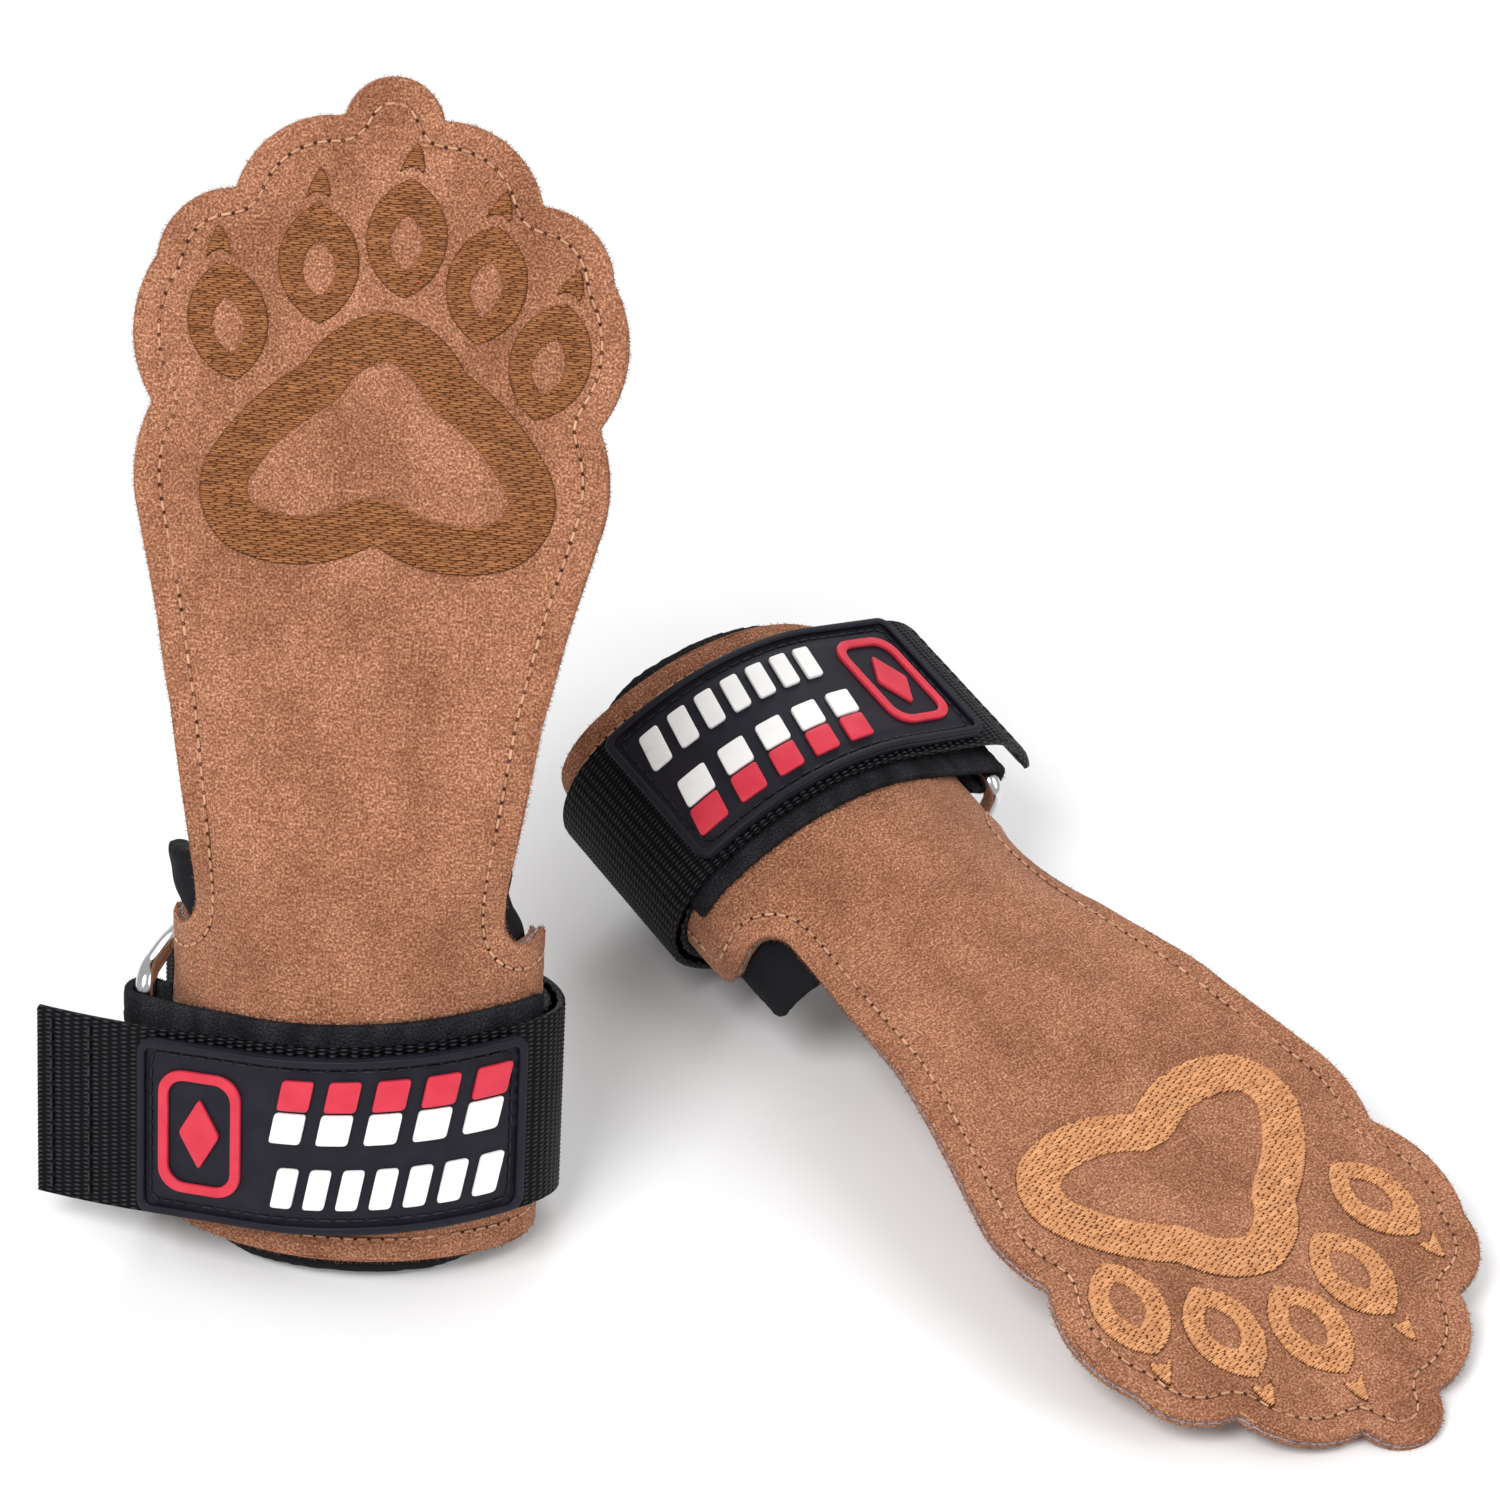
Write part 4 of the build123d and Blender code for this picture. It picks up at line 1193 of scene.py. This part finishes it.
def patch(grip):
    """Moulded rubber patch with a sunk seam and raised plain marks."""
    def moulded(loops, thick, radius, spacing, surface, relief=None, features=()):
        return Plate(loops, thick, radius, spacing, features).parts(surface, relief)

    def raised(*loops):
        return moulded(loops, mark_deep, 0.28, 1.5, mark_field(PATCH_OUT + MARK_HEIGHT))

    def piece(name, parts, look, node):
        worn_piece(name, grip, parts, look, "tail", [node])

    wide, high, mark_deep = PATCH_WIDE, 2 * PATCH_HALF, MARK_HEIGHT + 0.1
    edge, channel = rounded(wide, high, 2.5), rounded(wide - 5.3, high - 5.3, 1.6, 0.7)
    channel_fine = resample(channel, 0.35)

    def sunk(u, z):
        return 0.5 * near_line(u, z, channel_fine, 0.62) + 0.03 * DIMPLE(u, z)

    base = moulded([edge], 1.65, 0.45, 1.6, patch_field(PATCH_OUT), sunk, [closed(channel)])
    piece("patch_base_rubber", base, "patch_black", "patch_base")
    rim = moulded([edge, rounded(wide - 3.2, high - 3.2, 1.5)[::-1]], mark_deep, 0.4, 1.6,
                  patch_field(PATCH_OUT + MARK_HEIGHT))
    piece("patch_rim_rubber", rim, "patch_black", "patch_rim")
    starts, ends, _ = run_stitches(channel, 3.0, 0.5)
    threads = stitch_tubes(patch_field(PATCH_OUT), starts, ends, 0.28, 0.24, -0.22, 0.6, 6, 31)
    piece("patch_stitches", [threads], "patch_thread", "patch_seam")

    place = np.array((27, 0))
    diamond = soft(resample(np.array(((0, -7.5), (4.2, 0), (0, 7.5), (-4.2, 0))), 0.5)) - place
    emblem = raised(rounded(17, 26, 5) - place, rounded(13, 22, 3.5)[::-1] - place) + raised(diamond)
    piece("patch_emblem_raised", emblem, "patch_red", "patch_emblem")
    tops, bottoms = [], []
    for k in range(5):
        tops += raised(bar(-8.1 + 9.2 * k, 10.8, 6.2, 6.4, 1.2))
        bottoms += raised(bar(-9.6 + 9.2 * k, 3.8, 6.2, 6.4, 1.2))
    for k in range(7):
        bottoms += raised(bar(-10.2 + 6.4 * k, -9, 4.2, 8.5, 1.6))
    piece("patch_bars_red", tops, "patch_red", "patch_red_marks")
    piece("patch_bars_white", bottoms, "patch_white", "patch_white_marks")


# ---- ring
def ring(grip):
    """Wire loop: its near bar lies in the band's fold and its far bar carries the strap."""
    near, far = np.array(NEAR_BAR), np.array(FAR_BAR)
    side = unit(far - near)
    line = rounded(float(np.hypot(*(far - near))), RING_HEIGHT, 4.0)
    plane = np.array(((*side, 0.0), (0.0, 0.0, 1.0)))
    across = np.array((side[1], -side[0], 0.0))
    centres = np.array((*(near + far) / 2, RING_MIDDLE)) + closed(line) @ plane
    outward = closed(-inward(line)) @ plane
    turn = np.linspace(0, 2 * math.pi, 24, endpoint=False)[:, None]
    points = centres[:, None] + RING_WIRE * (np.cos(turn) * outward[:, None] + np.sin(turn) * across)
    girth = np.linspace(0, 2 * math.pi * RING_WIRE, 25)
    body = grid_part(points, distances(closed(line)), girth, wrap=True)
    worn_piece("ring_wire", grip, [body], "ring_chrome", "ring", ["strap_ring"])


# ---- wrist pad
def pad_outline(margin):
    """Outline of the padding laid flat, cut back by a margin; it tapers to a narrow lower edge."""
    end, top, low = 60.0 - margin, 50.5 - margin, -32.7 + margin
    crown = [(0.0, top + 3.5), (30.0, top + 3.0), (end - 11, top)]
    flank = [(end - 0.5, 32.0), (end, 26.0), (end, -6.0), (end - 1.0, -11.0), (end - 7.0, -16.0),
             (end - 16.0, -23.0), (end - 26.0, -29.0), (26.0, low + 1.0), (20.0, low), (0.0, low)]
    corner = arc((end - 11, top), (end - 7.0, top - 1.9), (end - 5, top - 6))
    return resample(mirrored(np.vstack((crown, corner, flank))), 1.2)


def fill_out(piece, cap):
    """Cloth simulation of a stuffed skin under pressure; no point moves further than the cap."""
    before = read(piece.data.vertices, "co")
    cloth = piece.modifiers.new("Cloth", "CLOTH")
    settings = {"quality": 4, "mass": 0.05, "tension_stiffness": 12, "compression_stiffness": 12,
                "shear_stiffness": 6, "bending_stiffness": 0.4, "use_pressure": True,
                "uniform_pressure_force": 4}
    for key, value in settings.items():
        setattr(cloth.settings, key, value)
    cloth.settings.effector_weights.gravity = 0
    cloth.point_cache.frame_start, cloth.point_cache.frame_end = 1, 20
    for step in range(1, 21):
        bpy.context.scene.frame_set(step)
    shaped = piece.evaluated_get(bpy.context.evaluated_depsgraph_get()).to_mesh()
    shift = read(shaped.vertices, "co") - before
    piece.modifiers.remove(cloth)
    bpy.context.scene.frame_set(1)
    shift *= np.minimum(1.0, cap / np.maximum(np.linalg.norm(shift, axis=1, keepdims=True), 1e-9))
    piece.data.vertices.foreach_set("co", (before + shift).ravel())
    piece.data.update()


def apply_modifier(piece, kind, **settings):
    made = piece.modifiers.new(kind.title(), kind)
    for key, value in settings.items():
        setattr(made, key, value)
    shaped = bpy.data.meshes.new_from_object(piece.evaluated_get(bpy.context.evaluated_depsgraph_get()))
    old = piece.data
    piece.modifiers.clear()
    piece.data = shaped
    bpy.data.meshes.remove(old)


def map_cuff(grip, piece):
    """UVs in real size: distance round the wrist and height."""
    local = (1000 * read(piece.data.vertices, "co") - grip.origin) @ grip.axes
    turn = np.arctan2(local[:, 0], -local[:, 1] * 1.4)
    flat = np.column_stack((turn * 30, local[:, 2])) / UV_SIZE
    corner = read(piece.data.loops, "vertex_index", 1, np.int32).ravel()
    layer = piece.data.uv_layers.new(name="UVMap")
    layer.data.foreach_set("uv", flat[corner].astype(np.float32).ravel())


def pad_flare(grip, s, z):
    """How far the pad's free corners above the wings roll outwards, left one and right one."""
    left, right = (3.9, -3.6) if grip.name == "standing" else (0.5, 0.5)
    side = np.where(np.asarray(s) < 0, left, right)
    return side * smooth((np.asarray(z) - 33.0) / 10) * smooth((np.abs(s) - 28.0) / 11)


def wrist_pad(grip):
    def cushion(s, z, d):
        return leather(s, z, PAD_DEPTH + d - np.where(d < 1.45, 1.0, 0.55) * pad_flare(grip, s, z))

    def inner_face(s, z, d):
        return leather(s, z, LINING_DEPTH + d - 0.55 * pad_flare(grip, s, z))

    points, faces, uv = tidy_mesh(Plate([pad_outline(0.6)], 2.9, 1.3, 4.0).parts(cushion))
    piece = make_object(f"wrist_pad_foam_{grip.tag}", grip.cuff(points), faces, [LOOKS["pad_foam"]], uv)
    apply_modifier(piece, "REMESH", mode="VOXEL", voxel_size=0.0012)
    fill_out(piece, 0.0007)
    apply_modifier(piece, "SUBSURF", levels=1)
    piece.data.polygons.foreach_set("use_smooth", np.ones(len(piece.data.polygons), bool))
    map_cuff(grip, piece)
    attach(piece, grip, "cuff", ["wrist_pad"], "pad_foam")

    lining = Plate([pad_outline(3.5)], 0.55, 0.25, 2.2)
    points, faces, uv = tidy_mesh(lining.parts(inner_face, None, lambda s, z: -0.10 * DIMPLE(s, z)))
    piece = make_object(f"pad_lining_jersey_{grip.tag}", grip.cuff(points), faces, [LOOKS["pad_lining"]], uv)
    attach(piece, grip, "cuff", ["pad_lining"], "pad_lining")


# ---- build both grips
for grip in GRIPS:
    leather_layers(grip)
    edge_fibres(grip)
    seam_threads(grip)
    embroidery(grip)
    straps(grip)
    patch(grip)
    ring(grip)
    wrist_pad(grip)


# ---- floor, light and camera
def floor():
    look = Look("floor_paper", 0.7, Specular_IOR_Level=0.2)
    look.two_tone(look.noise(40), (0.945, 0.945, 0.95), (0.97, 0.97, 0.975))
    corners = [(-4, -4, 0), (4, -4, 0), (4, 4, 0), (-4, 4, 0)]
    uv = np.array(corners)[:, :2] * 1000 / UV_SIZE
    make_object("floor", corners, [(0, 1, 2, 3)], [look.material], uv)


def soft_light(name, spot, size, power):
    data = bpy.data.lights.new(name, "AREA")
    data.shape, data.size, data.energy = "DISK", size, power
    lamp = bpy.data.objects.new(name, data)
    lamp.location = spot
    lamp.rotation_euler = (Vector((0.0, 0.0, 0.06)) - Vector(spot)).to_track_quat("-Z", "Y").to_euler()
    bpy.context.scene.collection.objects.link(lamp)


def camera():
    """Long lens, looking down at a point between the grips; its angles were fitted to the photo."""
    origin, distance = GRIPS[0].origin / 1000, 0.9
    target = Vector((origin[0] + 0.0762, origin[1], 0.1089))
    turn, rise, roll = math.radians(-4.13), math.radians(35.15), math.radians(1.98)
    data = bpy.data.cameras.new("camera")
    data.sensor_width, data.lens = 36.0, 113.6
    eye = bpy.data.objects.new("camera", data)
    back = Vector((math.sin(turn) * math.cos(rise), -math.cos(turn) * math.cos(rise), math.sin(rise)))
    eye.location = target + distance * back
    level = Matrix.Rotation(turn, 4, "Z") @ Matrix.Rotation(math.pi / 2 - rise, 4, "X")
    eye.rotation_euler = (level @ Matrix.Rotation(roll, 4, "Z")).to_euler()
    bpy.context.scene.collection.objects.link(eye)
    bpy.context.scene.camera = eye


floor()
soft_light("key", (-0.55, -0.75, 1.15), 0.7, 13)
soft_light("fill", (0.95, -0.55, 0.9), 1.0, 5)
soft_light("back", (0.1, 1.1, 0.9), 0.9, 6)
world = bpy.context.scene.world or bpy.data.worlds.new("world")
bpy.context.scene.world = world
world.use_nodes = True
sky = world.node_tree.nodes["Background"].inputs
sky["Color"].default_value, sky["Strength"].default_value = (1.0, 1.0, 1.0, 1.0), 0.52
bpy.context.scene.view_settings.view_transform = "Standard"
camera()
